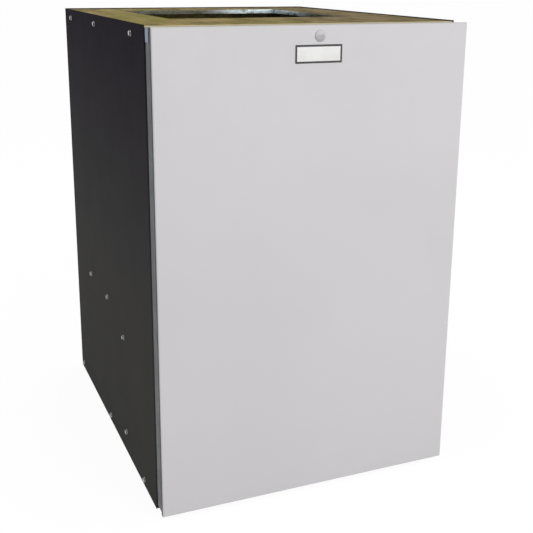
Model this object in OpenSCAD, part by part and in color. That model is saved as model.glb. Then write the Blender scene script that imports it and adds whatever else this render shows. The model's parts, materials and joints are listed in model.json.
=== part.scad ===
// Upright electric furnace: a sheet metal cabinet with a lift-off door, a blower above
// and open-coil heaters below. Millimetres, +Z up, the door faces -Y.
// The origin is on the floor under the middle of the whole furnace.
// Places inside the modules count y from the plane of the door opening, backwards.

/* [Cabinet] */
// Width over the side panels
cab_w = 508; // [500:1:540]
// Depth from the door opening to the back panel's outer face
cab_d = 597; // [590:1:630]
// Height of the side panels
cab_h = 762; // [750:1:800]
// Thickness of the sheet metal
sheet = 1; // [0.8:0.1:1.2]
// Width of a folded panel edge
lip = 20; // [18:1:22]
// How far the top panel lies below the side panels' top edges
top_drop = 1.5; // [0.5:0.5:3]
// Height of the folded edge over the door opening
header_h = 32; // [30:1:38]
// Height of the folded edge under the door opening
sill_h = 30; // [28:1:34]

/* [Air openings] */
// Width of the return air opening in the top panel
return_w = 324; // [280:2:340]
// Depth of the return air opening in the top panel
return_d = 340; // [300:2:360]
// Height of the turned-down edges at the sides and back of the return air opening
return_edge = 8; // [6:1:12]
// Height of the turned-down edge in front of it, which holds the blower access panel
return_collar = 15; // [12:1:16]
// Width of the supply air opening in the base panel
supply_w = 356; // [320:2:380]
// Depth of the supply air opening in the base panel
supply_d = 356; // [320:2:364]
// Height of the turned-up collar around the supply air opening
supply_collar = 12; // [8:1:14]
// Gap between the partition's folded foot and the supply air collar
supply_gap = 5; // [4:1:8]
// Radius of the duct screw holes in the base panel
duct_hole_r = 2.5; // [2:0.25:3]
// Distance of the duct screw holes outside the supply air opening
duct_hole_out = 35; // [30:1:40]
// Distance of the duct screw holes from the opening's front and back ends
duct_hole_in = 60; // [40:1:80]

/* [Compartments] */
// Depth of the control compartment in front of the partition
control_d = 184; // [180:1:188]
// Height of the blower deck's underside
deck_z = 262; // [258:1:268]
// Height of the partition's top edge
partition_h = 480; // [476:1:486]
// Overlap of the blower access panel and the partition
panel_lap = 12; // [10:1:14]
// Gap between the blower access panel and the cabinet's folded edges
panel_gap = 0.5; // [0.3:0.1:1]
// Width of the partition's folded side edges
partition_lip = 15; // [14:1:16]
// Thickness of the foil faced insulation
liner_t = 12; // [8:1:13]

/* [Door] */
// Depth of the door in front of the door opening
door_t = 38; // [34:1:42]
// Height of the door's lower edge above the floor
door_bottom = 7; // [6:0.5:10]
// Distance of the door's top edge below the side panels' top edges
door_top_gap = 1.5; // [1:0.5:4]
// Depth of the door skin's folded edges
skin_return = 8; // [6:1:12]
// Gap between the door skin and the inner frame
frame_gap = 0.2; // [0.1:0.1:0.4]
// Width of the inner frame's back flange
frame_lip = 25; // [22:1:28]
// Thickness of the foam gasket around the door opening
gasket_t = 3; // [2:0.5:4]
// Width of the foam gasket
gasket_w = 8; // [6:1:9]
// Gap between the closed door and the gasket, and between the door and its tabs
door_gap = 0.3; // [0.2:0.1:0.5]
// Width of each tab that the door stands on
tab_w = 40; // [30:1:50]
// Distance of the tabs from the middle of the cabinet
tab_x = 170; // [150:5:190]

/* [Door fastener] */
// Radius of the fastener's head
fastener_r = 8.5; // [7.5:0.5:9.5]
// Height of the fastener's head over the door skin
fastener_proud = 2.5; // [2:0.25:3.5]
// Distance of the fastener below the door's top edge
fastener_drop = 16; // [15:0.5:18]
// Radius of the fastener's shank
fastener_shank_r = 3; // [2.5:0.25:3.5]
// Running clearance around the shank in the door
fastener_clear = 0.06; // [0.04:0.01:0.08]
// Radius of the sleeve around the shank
sleeve_r = 6; // [5.5:0.25:7]
// Clearance around the shank's end in the header
header_clear = 0.6; // [0.4:0.1:1]
// How far the shank reaches behind the header
shank_reach = 8; // [5:1:12]

/* [Screws] */
// Height of a hex screw's head, with its washer face
screw_proud = 3; // [2.5:0.25:3.5]
// Thickness of the washer face
washer_t = 0.8; // [0.6:0.1:1]
// Radius of the washer face
washer_r = 4.6; // [4.2:0.1:5]
// Radius of the hexagon over its corners
hex_r = 3.7; // [3.4:0.1:4]
// Radius of the screw's shank
screw_r = 2; // [1.75:0.05:2.1]
// Clearance around the shank
screw_clear = 0.2; // [0.15:0.05:0.3]
// Length of the shank under the head
screw_len = 10; // [8:0.5:11]
// Height of the lowest row of side screws
low_screw_z = 12; // [10:0.5:13]
// Distance of the highest row of side screws below the side panels' top edges
high_screw_drop = 16; // [12:0.5:17]
// Distance of the deck's screws below the deck
deck_screw_drop = 7; // [5:0.5:12]
// Distance of the partition's screws behind its front face
partition_screw_y = 7.5; // [6:0.5:9]

/* [Blower] */
// Radius of the blower wheel
wheel_r = 120.5; // [116:0.5:122]
// Width of the blower wheel
wheel_w = 174; // [170:1:176]
// Radial depth of the blades
blade_depth = 20; // [16:1:22]
// Thickness of the blades
blade_t = 1.2; // [1:0.1:1.4]
// Number of blades
blade_count = 36; // [30:1:40]
// Width of the blower housing
housing_w = 200; // [194:1:206]
// Distance of the wheel's axis behind the door opening
wheel_y = 350; // [346:1:354]
// Height of the wheel's axis above the deck
wheel_rise = 165; // [160:1:172]
// Radius at which the scroll starts, beside the outlet
scroll_start_r = 132; // [128:1:136]
// Growth of the scroll's radius up to its end
scroll_growth = 58; // [50:1:62]
// Width of the outlet's foot flange
foot_w = 14; // [12:1:16]
// Radius of the inlet rings' throat
inlet_r = 92; // [88:1:96]
// Radius of the inlet rings' curved lip
inlet_curl = 10; // [8:1:12]
// Width of the inlet rings' flat flange
inlet_flange = 12; // [10:1:13]

/* [Motor] */
// Radius of the motor's shell
motor_r = 68; // [64:1:70]
// Length of the motor with its end bells
motor_len = 130; // [120:1:136]
// Distance of the motor from the middle of the wheel
motor_gap = 20; // [18:1:24]
// Depth of each end bell
bell_t = 8; // [6:1:10]
// Radius of the motor shaft
shaft_r = 6.35; // [5.5:0.05:8]
// Running clearance around the shaft in the motor
shaft_clear = 0.06; // [0.04:0.01:0.08]
// Radius of the wheel's hub
hub_r = 16; // [14:1:20]
// Clearance between the motor and its mounting band
band_clear = 0.2; // [0.1:0.1:0.4]
// Thickness of the mounting band and its arms
band_t = 3; // [2:0.5:4]
// Width of the mounting band
band_w = 24; // [20:1:28]
// Width of the mounting arms
arm_w = 20; // [16:1:22]
// Radius at which the mounting arms end
arm_end_r = 135; // [132:1:136]
// Radius of the run capacitor
capacitor_r = 20; // [17:1:21]
// Length of the run capacitor
capacitor_len = 80; // [70:1:90]
// Distance of the run capacitor behind the wheel's axis
capacitor_y = 160; // [158:1:162]
// Distance of the run capacitor's middle below the wheel's axis
capacitor_drop = 60; // [50:1:70]

/* [Heaters] */
// Distance between neighbouring heaters
heater_pitch = 150; // [146:1:154]
// Height of the heaters' middle
heater_z = 130; // [128:1:134]
// Width of a heater's plate
heater_plate_w = 124; // [122:1:128]
// Height of a heater's plate
heater_plate_h = 210; // [208:1:214]
// Thickness of a heater's plate
heater_plate_t = 1.5; // [1:0.25:2]
// Width that the plate overlaps the partition around its window
heater_lap = 10; // [9:0.5:11]
// Depth of the heater behind the partition's front face
heater_len = 310; // [290:1:330]
// Distance between a heater's two columns of coils
coil_dx = 48; // [44:1:50]
// Distance between a heater's rows of coils
coil_dz = 40; // [38:1:42]
// Outer radius of a heating coil
coil_r = 5; // [4:0.5:5.5]
// Radius of the links and bends between coil runs
link_r = 2; // [1.5:0.25:2.5]
// Radius of the cold pins
pin_r = 3; // [2.5:0.25:3.5]
// How far the cold pins stand out in front of the heater's plate
pin_out = 17.5; // [15:0.5:20]
// Wall of the ceramic insulators inside their holes
ceramic_wall = 2; // [1.5:0.25:2.5]
// Width of the ceramic insulators' collar
ceramic_collar = 2.5; // [2:0.25:3]
// Clearance of the ceramic insulators and what they hold
ceramic_clear = 0.3; // [0.2:0.1:0.4]

/* [Controls] */
// Width of the controls' lower row above the deck
control_row = 46; // [44:1:50]
// Distance of the upper row of controls above the lower row
upper_row = 97; // [92:1:100]
// Spacing of the sequencers
sequencer_pitch = 70; // [66:1:74]
// Radius of a sequencer's body
sequencer_r = 19; // [17:0.5:20]
// Depth of a sequencer's body
sequencer_t = 32; // [28:1:36]
// Length of the spade terminals
spade_len = 8; // [6:0.5:9]
// Width of one circuit breaker
breaker_w = 50; // [48:1:51]
// Height of one circuit breaker
breaker_h = 90; // [86:1:96]
// Depth of a circuit breaker's body
breaker_d = 60; // [56:1:64]
// Height of the raised nose around a breaker's toggle
nose_t = 12; // [10:1:14]
// Distance between the middles of the two breakers
breaker_pitch = 56; // [54:1:58]
// Depth of the bracket that carries the breakers
bracket_d = 40; // [36:1:44]
// Radius of a toggle's round root
toggle_r = 7; // [6:0.5:7.5]
// Length of a toggle's lever from its axis
toggle_len = 20; // [18:0.5:22]
// Angle of the toggle to the breaker's face when it is on
toggle_angle = 25; // [20:1:26]
// Gap between the toggle and its slot
toggle_gap = 0.4; // [0.3:0.1:0.6]
// Radius of a power wire
wire_r = 2.2; // [1.8:0.1:2.4]
// Radius of a control wire
thin_wire_r = 1.2; // [0.8:0.1:1.5]
// Gap between a wire's end and its terminal
wire_gap = 0.2; // [0.1:0.1:0.3]
// Radius of the bore of the power cable bushings
power_bore_r = 14; // [10:0.5:15]
// Radius of the bore of the control cable bushing
control_bore_r = 6; // [4:0.5:8]
// Wall of the cable bushings
bushing_wall = 3; // [2:0.5:3.5]
// Length of the cable bushings
bushing_len = 14; // [12:1:18]

/* [Hidden] */
$fn = 48;
cut = 1;
half_w = cab_w / 2;
inner_x = half_w - sheet;
top_z = cab_h - top_drop;
roof_z = top_z - sheet;
back_y = cab_d - sheet;
front_y = (door_t + fastener_proud - cab_d - screw_proud) / 2;

return_y = control_d + sheet;
supply_y = control_d + sheet + partition_lip + supply_gap;
deck_y = control_d + sheet;
deck_top = deck_z + sheet;

door_z0 = door_bottom;
door_z1 = cab_h - door_top_gap;
frame_x = half_w - sheet - frame_gap;
frame_y0 = -door_t + sheet + frame_gap;
frame_y1 = -gasket_t - door_gap;
frame_z0 = door_z0 + sheet + frame_gap;
frame_z1 = door_z1 - sheet - frame_gap;
fastener_z = door_z1 - fastener_drop;
gasket_x = half_w - 6;
gasket_z0 = sill_h - gasket_w - 4;
gasket_z1 = top_z - header_h + 1 + gasket_w;

// Depths of the side screws along the top edge, the bottom edge and the deck
top_screw_y = [75, cab_d - 269, cab_d - 59];
low_screw_y = [72, cab_d - 280, cab_d - 21];
deck_screw_y = [cab_d - 288, cab_d - 147];
// Heights of the side screws into the partition
partition_screw_z = [40, deck_z - 41];
// Places of the side screws: [y, z] on either side
side_screws = concat(
    [for (y = top_screw_y) [y, cab_h - high_screw_drop]],
    [for (y = low_screw_y) [y, low_screw_z]],
    [for (y = deck_screw_y) [y, deck_z - deck_screw_drop]],
    [for (z = partition_screw_z) [control_d + partition_screw_y, z]]);
// Places of the back screws: [x, z]
edge_screw_x = inner_x - lip / 2;
edge_screw_steps = 4;
edge_screw_z0 = 60;
edge_screw_rise = (cab_h - 2 - 2 * edge_screw_z0) / edge_screw_steps;
back_screws = concat(
    [for (k = [0 : edge_screw_steps]) for (side = [-1, 1])
        [side * edge_screw_x, edge_screw_z0 + k * edge_screw_rise]],
    [for (x = [-120, 0, 120]) [x, deck_z - deck_screw_drop]]);

wheel_z = deck_top + wheel_rise;
scroll_steps = 40;
scroll_sweep = 240;
scroll_end_r = scroll_start_r + scroll_growth;
cutoff_y = wheel_y + scroll_start_r * cos(scroll_sweep);
tail_y = wheel_y + scroll_end_r;
housing_x = housing_w / 2;
wheel_disc_t = 2;
hub_x0 = -16;
hub_x1 = motor_gap - 8;
motor_x0 = motor_gap;
motor_x1 = motor_gap + motor_len;
arm_x = housing_x + sheet;
capacitor_x = housing_x + sheet + band_t / 2 + capacitor_r + band_clear;
capacitor_z = wheel_z - capacitor_drop;
foot_screw_x = housing_x + foot_w / 2;

heater_count = 3;
coil_rows = 4;
heater_window_w = heater_plate_w - 2 * heater_lap;
heater_window_h = heater_plate_h - 2 * heater_lap;
heater_face = control_d - heater_plate_t;
spacer_y = [control_d + 20, control_d + heater_len / 2, control_d + heater_len - 20];
spacer_w = heater_window_w - 8;
spacer_h = heater_window_h - 8;
rod_r = 3;
rod_dz = spacer_h / 2 - 7;
coil_y0 = control_d + 9;
coil_y1 = control_d + heater_len - 6;
pin_y = heater_face - pin_out;
ceramic_hole_r = coil_r + ceramic_clear + ceramic_wall;
pin_hole_r = pin_r + ceramic_clear + ceramic_wall;
plate_screw_x = heater_plate_w / 2 - heater_lap / 2;
plate_screw_z = heater_plate_h / 2 - heater_lap / 2;
limit_r = 14;
limit_t = 10;

row_z = deck_z + control_row;
high_z = row_z + upper_row;
sequencer_plate_t = 1.5;
spade_y = control_d - sequencer_plate_t - sequencer_t - spade_len;
spade_dx = 8;
spade_z = row_z - 8;
relay_x = 35;
relay_size = [46, 32, 38];
transformer_side = 64;
transformer_x = transformer_side - half_w;
transformer_size = [56, 38, 46];
strip_gap = 17;
strip_size = [110, 14, 22];
strip_x = transformer_x + (transformer_size[0] + strip_size[0]) / 2 + strip_gap;
sequencer_x = [for (i = [-1 : 1]) strip_x + (i - 0.5) * sequencer_pitch];
lug_x = 30;
breaker_side = 84;
breaker_mid_x = half_w - breaker_side;
breaker_x = [breaker_mid_x - breaker_pitch / 2, breaker_mid_x + breaker_pitch / 2];
pole_dx = 12;
breaker_rise = 103;
breaker_z = deck_z + breaker_rise;
bracket_w = 2 * breaker_pitch + 14;
bracket_h = breaker_h + 20;
bracket_y = control_d - bracket_d;
breaker_y = bracket_y - breaker_d;
nose_h = 48;
toggle_y = breaker_y - nose_t + 12;
slot_w = 30;
slot_h = 32;
slot_d = 22;
lead_hole_r = 6;
lead_hole_z = partition_h - 30;
lead_r = 3;

power_bushing_out = 60;
power_bushing_pitch = 70;
power_bushing_x = [breaker_mid_x - power_bushing_out,
    breaker_mid_x - power_bushing_out + power_bushing_pitch];
control_bushing_side = 54;
control_bushing_x = control_bushing_side - half_w;
bushing_y = 90;
bushing_flange_t = 2;
bushing_flange = 4;

// Colours of the finishes
dark_paint = [0.22, 0.22, 0.22];
pale_paint = [0.81, 0.80, 0.81];
gold_steel = [0.47, 0.42, 0.31];
plain_steel = [0.62, 0.64, 0.66];
foil = [0.80, 0.84, 0.86];
black_plastic = [0.10, 0.10, 0.11];

module from_opening() { translate([0, front_y, 0]) children(); }

module block(low, high) { translate(low) cube(high - low); }

module both_sides() {
    children();
    mirror([1, 0, 0]) children();
}

// A flat shape drawn in y and z, with its thickness from x0 to x1
module slab_x(x0, x1) {
    translate([x0, 0, 0]) rotate([90, 0, 90]) linear_extrude(x1 - x0) children();
}

module tube_y(r, y0, y1) { translate([0, y0, 0]) rotate([-90, 0, 0]) cylinder(h = y1 - y0, r = r); }

module tube_x(r, x0, x1) { translate([x0, 0, 0]) rotate([0, 90, 0]) cylinder(h = x1 - x0, r = r); }

// Hex washer head screw: the head's seat lies at z = 0 and the shank below it
module screw() {
    cylinder(h = washer_t, r = washer_r);
    translate([0, 0, washer_t]) cylinder(h = screw_proud - washer_t, r = hex_r, $fn = 6);
    translate([0, 0, -screw_len]) cylinder(h = screw_len, r = screw_r);
}

module screw_hole() {
    translate([0, 0, -screw_len - cut]) cylinder(h = screw_len + 2 * cut, r = screw_r + screw_clear);
}

module at_side_screws() {
    for (p = side_screws) translate([half_w, p[0], p[1]]) rotate([0, 90, 0]) children();
}

module side_screw_holes() { both_sides() at_side_screws() screw_hole(); }

module at_back_screws() {
    for (p = back_screws) translate([p[0], cab_d, p[1]]) rotate([-90, 0, 0]) children();
}

// Screws driven backwards into a plate whose front face is at y
module at_front_screws(places, y) {
    for (p = places) translate([p[0], y, p[1]]) rotate([90, 0, 0]) children();
}

access_low_screws = [for (x = [-210, 0, 210]) [x, partition_h - panel_lap / 2]];
access_high_screws = [for (x = [-120, 120]) [x, roof_z - return_collar / 2]];
heater_screws = [
    for (i = [0 : heater_count - 1]) for (sx = [-1, 1]) for (sz = [-1, 1])
        [heater_x(i) + sx * plate_screw_x, heater_z + sz * plate_screw_z]
];
foot_screws = [for (x = [-foot_screw_x, foot_screw_x]) for (y = [cutoff_y + 30, tail_y - 30]) [x, y]];

function heater_x(i) = (i - (heater_count - 1) / 2) * heater_pitch;

module side_panel() {
    difference() {
        union() {
            block([inner_x, 0, 0], [half_w, back_y, cab_h]);
            block([inner_x - lip, 0, sill_h], [inner_x, sheet, top_z - header_h]);
            block([inner_x - lip, back_y - sheet, sheet], [inner_x, back_y, roof_z]);
        }
        side_screw_holes();
        at_back_screws() screw_hole();
    }
}

module side_panel_right() { from_opening() color(dark_paint) side_panel(); }

module side_panel_left() { from_opening() color(dark_paint) mirror([1, 0, 0]) side_panel(); }

module back_panel() {
    from_opening() color(dark_paint) difference() {
        block([-half_w, back_y, 0], [half_w, cab_d, cab_h]);
        at_back_screws() screw_hole();
    }
}

// The four turned edges around an air opening
module collar(width, y0, depth, z0, z1) {
    difference() {
        block([-width / 2 - sheet, y0 - sheet, z0], [width / 2 + sheet, y0 + depth + sheet, z1]);
        block([-width / 2, y0, z0 - cut], [width / 2, y0 + depth, z1 + cut]);
    }
}

module top_panel() {
    from_opening() color(gold_steel) difference() {
        union() {
            block([-inner_x, 0, roof_z], [inner_x, back_y, top_z]);
            block([-inner_x, 0, top_z - header_h], [inner_x, sheet, roof_z]);
            block([-inner_x, back_y - 2 * sheet, roof_z - lip], [inner_x, back_y - sheet, roof_z]);
            both_sides()
                block([inner_x - sheet, sheet, roof_z - lip], [inner_x, back_y - 2 * sheet, roof_z]);
            collar(return_w, return_y, return_d, roof_z - return_edge, roof_z);
            block([-return_w / 2 - sheet, return_y - sheet, roof_z - return_collar],
                [return_w / 2 + sheet, return_y, roof_z]);
        }
        block([-return_w / 2, return_y, roof_z - cut], [return_w / 2, return_y + return_d, top_z + cut]);
        side_screw_holes();
        translate([0, 0, fastener_z])
            tube_y(fastener_shank_r + header_clear, -cut, sheet + cut);
        at_front_screws(access_high_screws, control_d - sheet) screw_hole();
    }
}

// Flat bottom sheet with the supply air opening, the cable entries and the duct screw holes
module base_panel() {
    duct_x = supply_w / 2 + duct_hole_out;
    from_opening() color(gold_steel) difference() {
        block([-inner_x, 0, 0], [inner_x, back_y, sheet]);
        block([-supply_w / 2, supply_y, -cut], [supply_w / 2, supply_y + supply_d, sheet + cut]);
        for (x = [-duct_x, duct_x], y = [supply_y + duct_hole_in, supply_y + supply_d - duct_hole_in])
            translate([x, y, -cut]) cylinder(h = sheet + 2 * cut, r = duct_hole_r);
        for (x = power_bushing_x) bushing_hole(x, power_bore_r);
        bushing_hole(control_bushing_x, control_bore_r);
    }
}

// Upright pieces on the base panel: the sill with the two tabs that the door stands on, the
// side and back edges, and a ring around the supply air opening
module base_fittings() {
    tab_top = door_bottom - door_gap;
    from_opening() color(gold_steel) difference() {
        union() {
            block([-inner_x, 0, sheet], [inner_x, sheet, sill_h]);
            block([-inner_x, back_y - 2 * sheet, sheet], [inner_x, back_y - sheet, sheet + lip]);
            both_sides() {
                block([inner_x - sheet, sheet, sheet], [inner_x, back_y - 2 * sheet, sheet + lip]);
                block([tab_x - tab_w / 2, skin_return - door_t, tab_top - sheet],
                    [tab_x + tab_w / 2, 0, tab_top]);
            }
            collar(supply_w, supply_y, supply_d, sheet, sheet + supply_collar);
        }
        side_screw_holes();
    }
}

module bushing_hole(x, bore_r) {
    translate([x, bushing_y, -cut]) cylinder(h = sheet + 2 * cut, r = bore_r + bushing_wall);
}

// Snap-in bushing: its flange lies on the base panel and its barrel stands in the hole
module bushing(x, bore_r) {
    translate([x, bushing_y, 0]) difference() {
        union() {
            cylinder(h = bushing_len, r = bore_r + bushing_wall - screw_clear);
            translate([0, 0, sheet])
                cylinder(h = bushing_flange_t, r = bore_r + bushing_wall + bushing_flange);
        }
        translate([0, 0, -cut]) cylinder(h = bushing_len + 2 * cut, r = bore_r);
    }
}

module cable_bushings() {
    from_opening() color(black_plastic) {
        for (x = power_bushing_x) bushing(x, power_bore_r);
        bushing(control_bushing_x, control_bore_r);
    }
}

module partition() {
    edge_x = inner_x - sheet;
    fold_y = control_d + sheet + partition_lip;
    from_opening() color(plain_steel) difference() {
        union() {
            block([-edge_x, control_d, sheet], [edge_x, control_d + sheet, partition_h]);
            both_sides() {
                block([edge_x - sheet, control_d + sheet, sheet], [edge_x, fold_y, deck_z]);
                block([edge_x - sheet, control_d + sheet, deck_top], [edge_x, fold_y, partition_h]);
            }
            block([-edge_x + sheet, control_d + sheet, sheet], [edge_x - sheet, fold_y, 2 * sheet]);
        }
        side_screw_holes();
        for (i = [0 : heater_count - 1]) translate([heater_x(i), 0, heater_z])
            block([-heater_window_w / 2, control_d - cut, -heater_window_h / 2],
                [heater_window_w / 2, control_d + sheet + cut, heater_window_h / 2]);
        at_front_screws(heater_screws, heater_face) screw_hole();
        at_front_screws(access_low_screws, control_d - sheet) screw_hole();
        translate([relay_x, 0, lead_hole_z]) tube_y(lead_hole_r, control_d - cut, control_d + sheet + cut);
    }
}

module blower_access_panel() {
    panel_x = inner_x - sheet - panel_gap;
    from_opening() color(plain_steel) difference() {
        block([-panel_x, control_d - sheet, partition_h - panel_lap],
            [panel_x, control_d, roof_z - panel_gap]);
        at_front_screws(concat(access_low_screws, access_high_screws), control_d - sheet) screw_hole();
    }
}

module blower_deck() {
    from_opening() color(plain_steel) difference() {
        union() {
            block([-inner_x, deck_y, deck_z], [inner_x, back_y - sheet, deck_top]);
            both_sides()
                block([inner_x - sheet, deck_y, deck_z - lip], [inner_x, back_y - sheet, deck_z]);
            block([-inner_x, back_y - 2 * sheet, deck_z - lip], [inner_x, back_y - sheet, deck_z]);
            block([-inner_x + 2 * sheet, deck_y, deck_z - lip],
                [inner_x - 2 * sheet, deck_y + sheet, deck_z]);
        }
        block([-housing_x + sheet, cutoff_y, deck_z - cut], [housing_x - sheet, tail_y, deck_top + cut]);
        side_screw_holes();
        at_back_screws() screw_hole();
        at_foot_screws() screw_hole();
        at_front_screws(heater_screws, heater_face) screw_hole();
    }
}

module at_foot_screws() {
    for (p = foot_screws) translate([p[0], p[1], deck_top + sheet]) children();
}

// Three boards of insulation around the blower: beside it and behind it
module liners() {
    back_x = inner_x - lip - 1;
    top = roof_z - lip - 4;
    from_opening() color(foil) {
        both_sides()
            block([inner_x - liner_t, control_d + sheet + partition_lip + 2, deck_top],
                [inner_x, cab_d - screw_len - 3, top]);
        block([-back_x, back_y - liner_t, deck_top], [back_x, back_y, top]);
    }
}

module door_gasket() {
    from_opening() color(black_plastic) difference() {
        block([-gasket_x, -gasket_t, gasket_z0], [gasket_x, 0, gasket_z1]);
        block([-gasket_x + gasket_w, -gasket_t - cut, gasket_z0 + gasket_w],
            [gasket_x - gasket_w, cut, gasket_z1 - gasket_w]);
    }
}

module side_screws_right() { from_opening() color(plain_steel) at_side_screws() screw(); }

module side_screws_left() {
    from_opening() color(plain_steel) mirror([1, 0, 0]) at_side_screws() screw();
}

module back_screws_all() { from_opening() color(plain_steel) at_back_screws() screw(); }

module panel_screws() {
    from_opening() color(plain_steel) {
        at_front_screws(heater_screws, heater_face) screw();
        at_front_screws(concat(access_low_screws, access_high_screws), control_d - sheet) screw();
        at_foot_screws() screw();
    }
}

module door_skin() {
    from_opening() color(pale_paint) difference() {
        block([-half_w, -door_t, door_z0], [half_w, -door_t + skin_return, door_z1]);
        block([-half_w + sheet, -door_t + sheet, door_z0 + sheet],
            [half_w - sheet, -door_t + skin_return + cut, door_z1 - sheet]);
        translate([0, 0, fastener_z])
            tube_y(fastener_shank_r + fastener_clear, -door_t - cut, -door_t + sheet + cut);
    }
}

module door_frame() {
    from_opening() color(plain_steel) difference() {
        block([-frame_x, frame_y0, frame_z0], [frame_x, frame_y1, frame_z1]);
        block([-frame_x + sheet, frame_y0 - cut, frame_z0 + sheet],
            [frame_x - sheet, frame_y1 - sheet, frame_z1 - sheet]);
        block([-frame_x + frame_lip, frame_y0, frame_z0 + frame_lip],
            [frame_x - frame_lip, frame_y1 + cut, frame_z1 - frame_lip]);
        translate([0, 0, fastener_z])
            tube_y(fastener_shank_r + fastener_clear, frame_y1 - sheet - cut, frame_y1 + cut);
    }
}

module door_liner() {
    liner_x = frame_x - sheet - frame_gap;
    from_opening() color(foil) difference() {
        block([-liner_x, frame_y0, frame_z0 + sheet + frame_gap],
            [liner_x, frame_y1 - sheet - frame_gap, frame_z1 - sheet - frame_gap]);
        translate([0, 0, fastener_z]) tube_y(sleeve_r + 1, -door_t, cut);
    }
}

module fastener_sleeve() {
    from_opening() color(plain_steel) translate([0, 0, fastener_z]) difference() {
        tube_y(sleeve_r, frame_y0, frame_y1 - sheet - frame_gap);
        tube_y(fastener_shank_r + fastener_clear, -door_t, cut);
    }
}

// Low domed head with a straight slot, on a plain shank
module door_fastener() {
    seat_y = -door_t - fastener_clear;
    edge_t = fastener_proud * 0.45;
    rim = 1.6;
    from_opening() color(pale_paint) translate([0, 0, fastener_z]) difference() {
        union() {
            translate([0, seat_y, 0]) rotate([90, 0, 0]) rotate_extrude() polygon(concat(
                [[0, 0], [fastener_r, 0]],
                [for (a = [0 : 15 : 90]) [fastener_r - rim + rim * cos(a),
                    edge_t + (fastener_proud - fastener_clear - edge_t) * sin(a)]],
                [[0, fastener_proud - fastener_clear]]));
            tube_y(fastener_shank_r, seat_y - cut / 2, sheet + shank_reach);
        }
        block([-fastener_r * 0.62, -door_t - fastener_proud - cut, -0.9],
            [fastener_r * 0.62, -door_t - fastener_proud * 0.45, 0.9]);
    }
}

// The scroll's outline in y and z, grown outwards by `grow`, open downwards past the foot
function scroll_outline(grow, foot_z) = concat(
    [[cutoff_y - grow, foot_z],
        [cutoff_y - grow, wheel_z + (scroll_start_r + grow) * sin(scroll_sweep)]],
    [for (i = [1 : scroll_steps]) let (
        a = scroll_sweep * (1 - i / scroll_steps),
        r = scroll_start_r + scroll_growth * i / scroll_steps + grow)
        [wheel_y + r * cos(a), wheel_z + r * sin(a)]],
    [[tail_y + grow, foot_z]]);

module blower_scroll() {
    from_opening() color(plain_steel) {
        slab_x(-housing_x + sheet, housing_x - sheet) difference() {
            polygon(scroll_outline(sheet, deck_top));
            polygon(scroll_outline(0, deck_top - cut));
        }
        difference() {
            block([-housing_x - foot_w, cutoff_y - sheet - foot_w, deck_top],
                [housing_x + foot_w, tail_y + sheet + foot_w, deck_top + sheet]);
            block([-housing_x, cutoff_y - sheet, deck_top - cut],
                [housing_x, tail_y + sheet, deck_top + sheet + cut]);
            at_foot_screws() screw_hole();
        }
    }
}

module blower_side() {
    slab_x(housing_x - sheet, housing_x) difference() {
        polygon(scroll_outline(sheet, deck_top));
        translate([wheel_y, wheel_z]) circle(r = inlet_r + inlet_curl);
    }
}

module blower_side_right() { from_opening() color(plain_steel) blower_side(); }

module blower_side_left() { from_opening() color(plain_steel) mirror([1, 0, 0]) blower_side(); }

// Bell mouth: a flat flange on the housing's side that curls inwards to the throat
module inlet_ring() {
    curl = [for (a = [0 : 15 : 90]) [sin(a), cos(a)]];
    translate([housing_x + sheet, wheel_y, wheel_z]) rotate([0, 90, 0]) rotate_extrude() polygon(concat(
        [[inlet_r + inlet_curl + inlet_flange, 0]],
        [for (c = curl) [inlet_r + inlet_curl - inlet_curl * c[0], -inlet_curl + inlet_curl * c[1]]],
        [for (k = [len(curl) - 1 : -1 : 0]) [
            inlet_r + inlet_curl - (inlet_curl - sheet) * curl[k][0],
            -inlet_curl + (inlet_curl - sheet) * curl[k][1]]],
        [[inlet_r + inlet_curl + inlet_flange, -sheet]]));
}

module inlet_ring_right() { from_opening() color(plain_steel) inlet_ring(); }

module inlet_ring_left() { from_opening() color(plain_steel) mirror([1, 0, 0]) inlet_ring(); }

// One forward curved blade, drawn in y and z about the wheel's axis
function blade_edge(grow) = [for (k = [0 : 5]) let (
    t = k / 5,
    r = wheel_r - blade_depth + 1 + (blade_depth - 2) * t,
    a = -14 * t * t + grow / r * 180 / PI)
    [r * cos(a), r * sin(a)]];

module blade() {
    inner = blade_edge(0);
    outer = blade_edge(blade_t);
    polygon(concat(inner, [for (k = [len(outer) - 1 : -1 : 0]) outer[k]]));
}

// Half of the wheel: its blades stand on the hub disc and end in a ring
module wheel_half() {
    end_ring = 3;
    for (i = [0 : blade_count - 1])
        slab_x(wheel_disc_t / 2, wheel_w / 2 - end_ring / 2) rotate(i * 360 / blade_count) blade();
    difference() {
        tube_x(wheel_r, wheel_w / 2 - end_ring, wheel_w / 2);
        tube_x(wheel_r - blade_depth, wheel_w / 2 - end_ring - cut, wheel_w / 2 + cut);
    }
}

module blower_wheel() {
    from_opening() color(plain_steel) translate([0, wheel_y, wheel_z]) both_sides() wheel_half();
}

module wheel_hub() {
    from_opening() color(plain_steel) translate([0, wheel_y, wheel_z]) difference() {
        union() {
            tube_x(wheel_r - blade_depth / 2, -wheel_disc_t / 2, wheel_disc_t / 2);
            tube_x(hub_r, hub_x0, hub_x1);
        }
        tube_x(shaft_r + shaft_clear, hub_x0 - cut, hub_x1 + cut);
    }
}

module motor_shaft() {
    from_opening() color(foil) translate([0, wheel_y, wheel_z])
        tube_x(shaft_r, hub_x0 - 2, motor_x1 + 10);
}

module motor_shell() {
    from_opening() color(black_plastic) translate([0, wheel_y, wheel_z]) difference() {
        tube_x(motor_r, motor_x0 + bell_t, motor_x1 - bell_t);
        tube_x(shaft_r + shaft_clear, motor_x0, motor_x1);
    }
}

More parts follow.
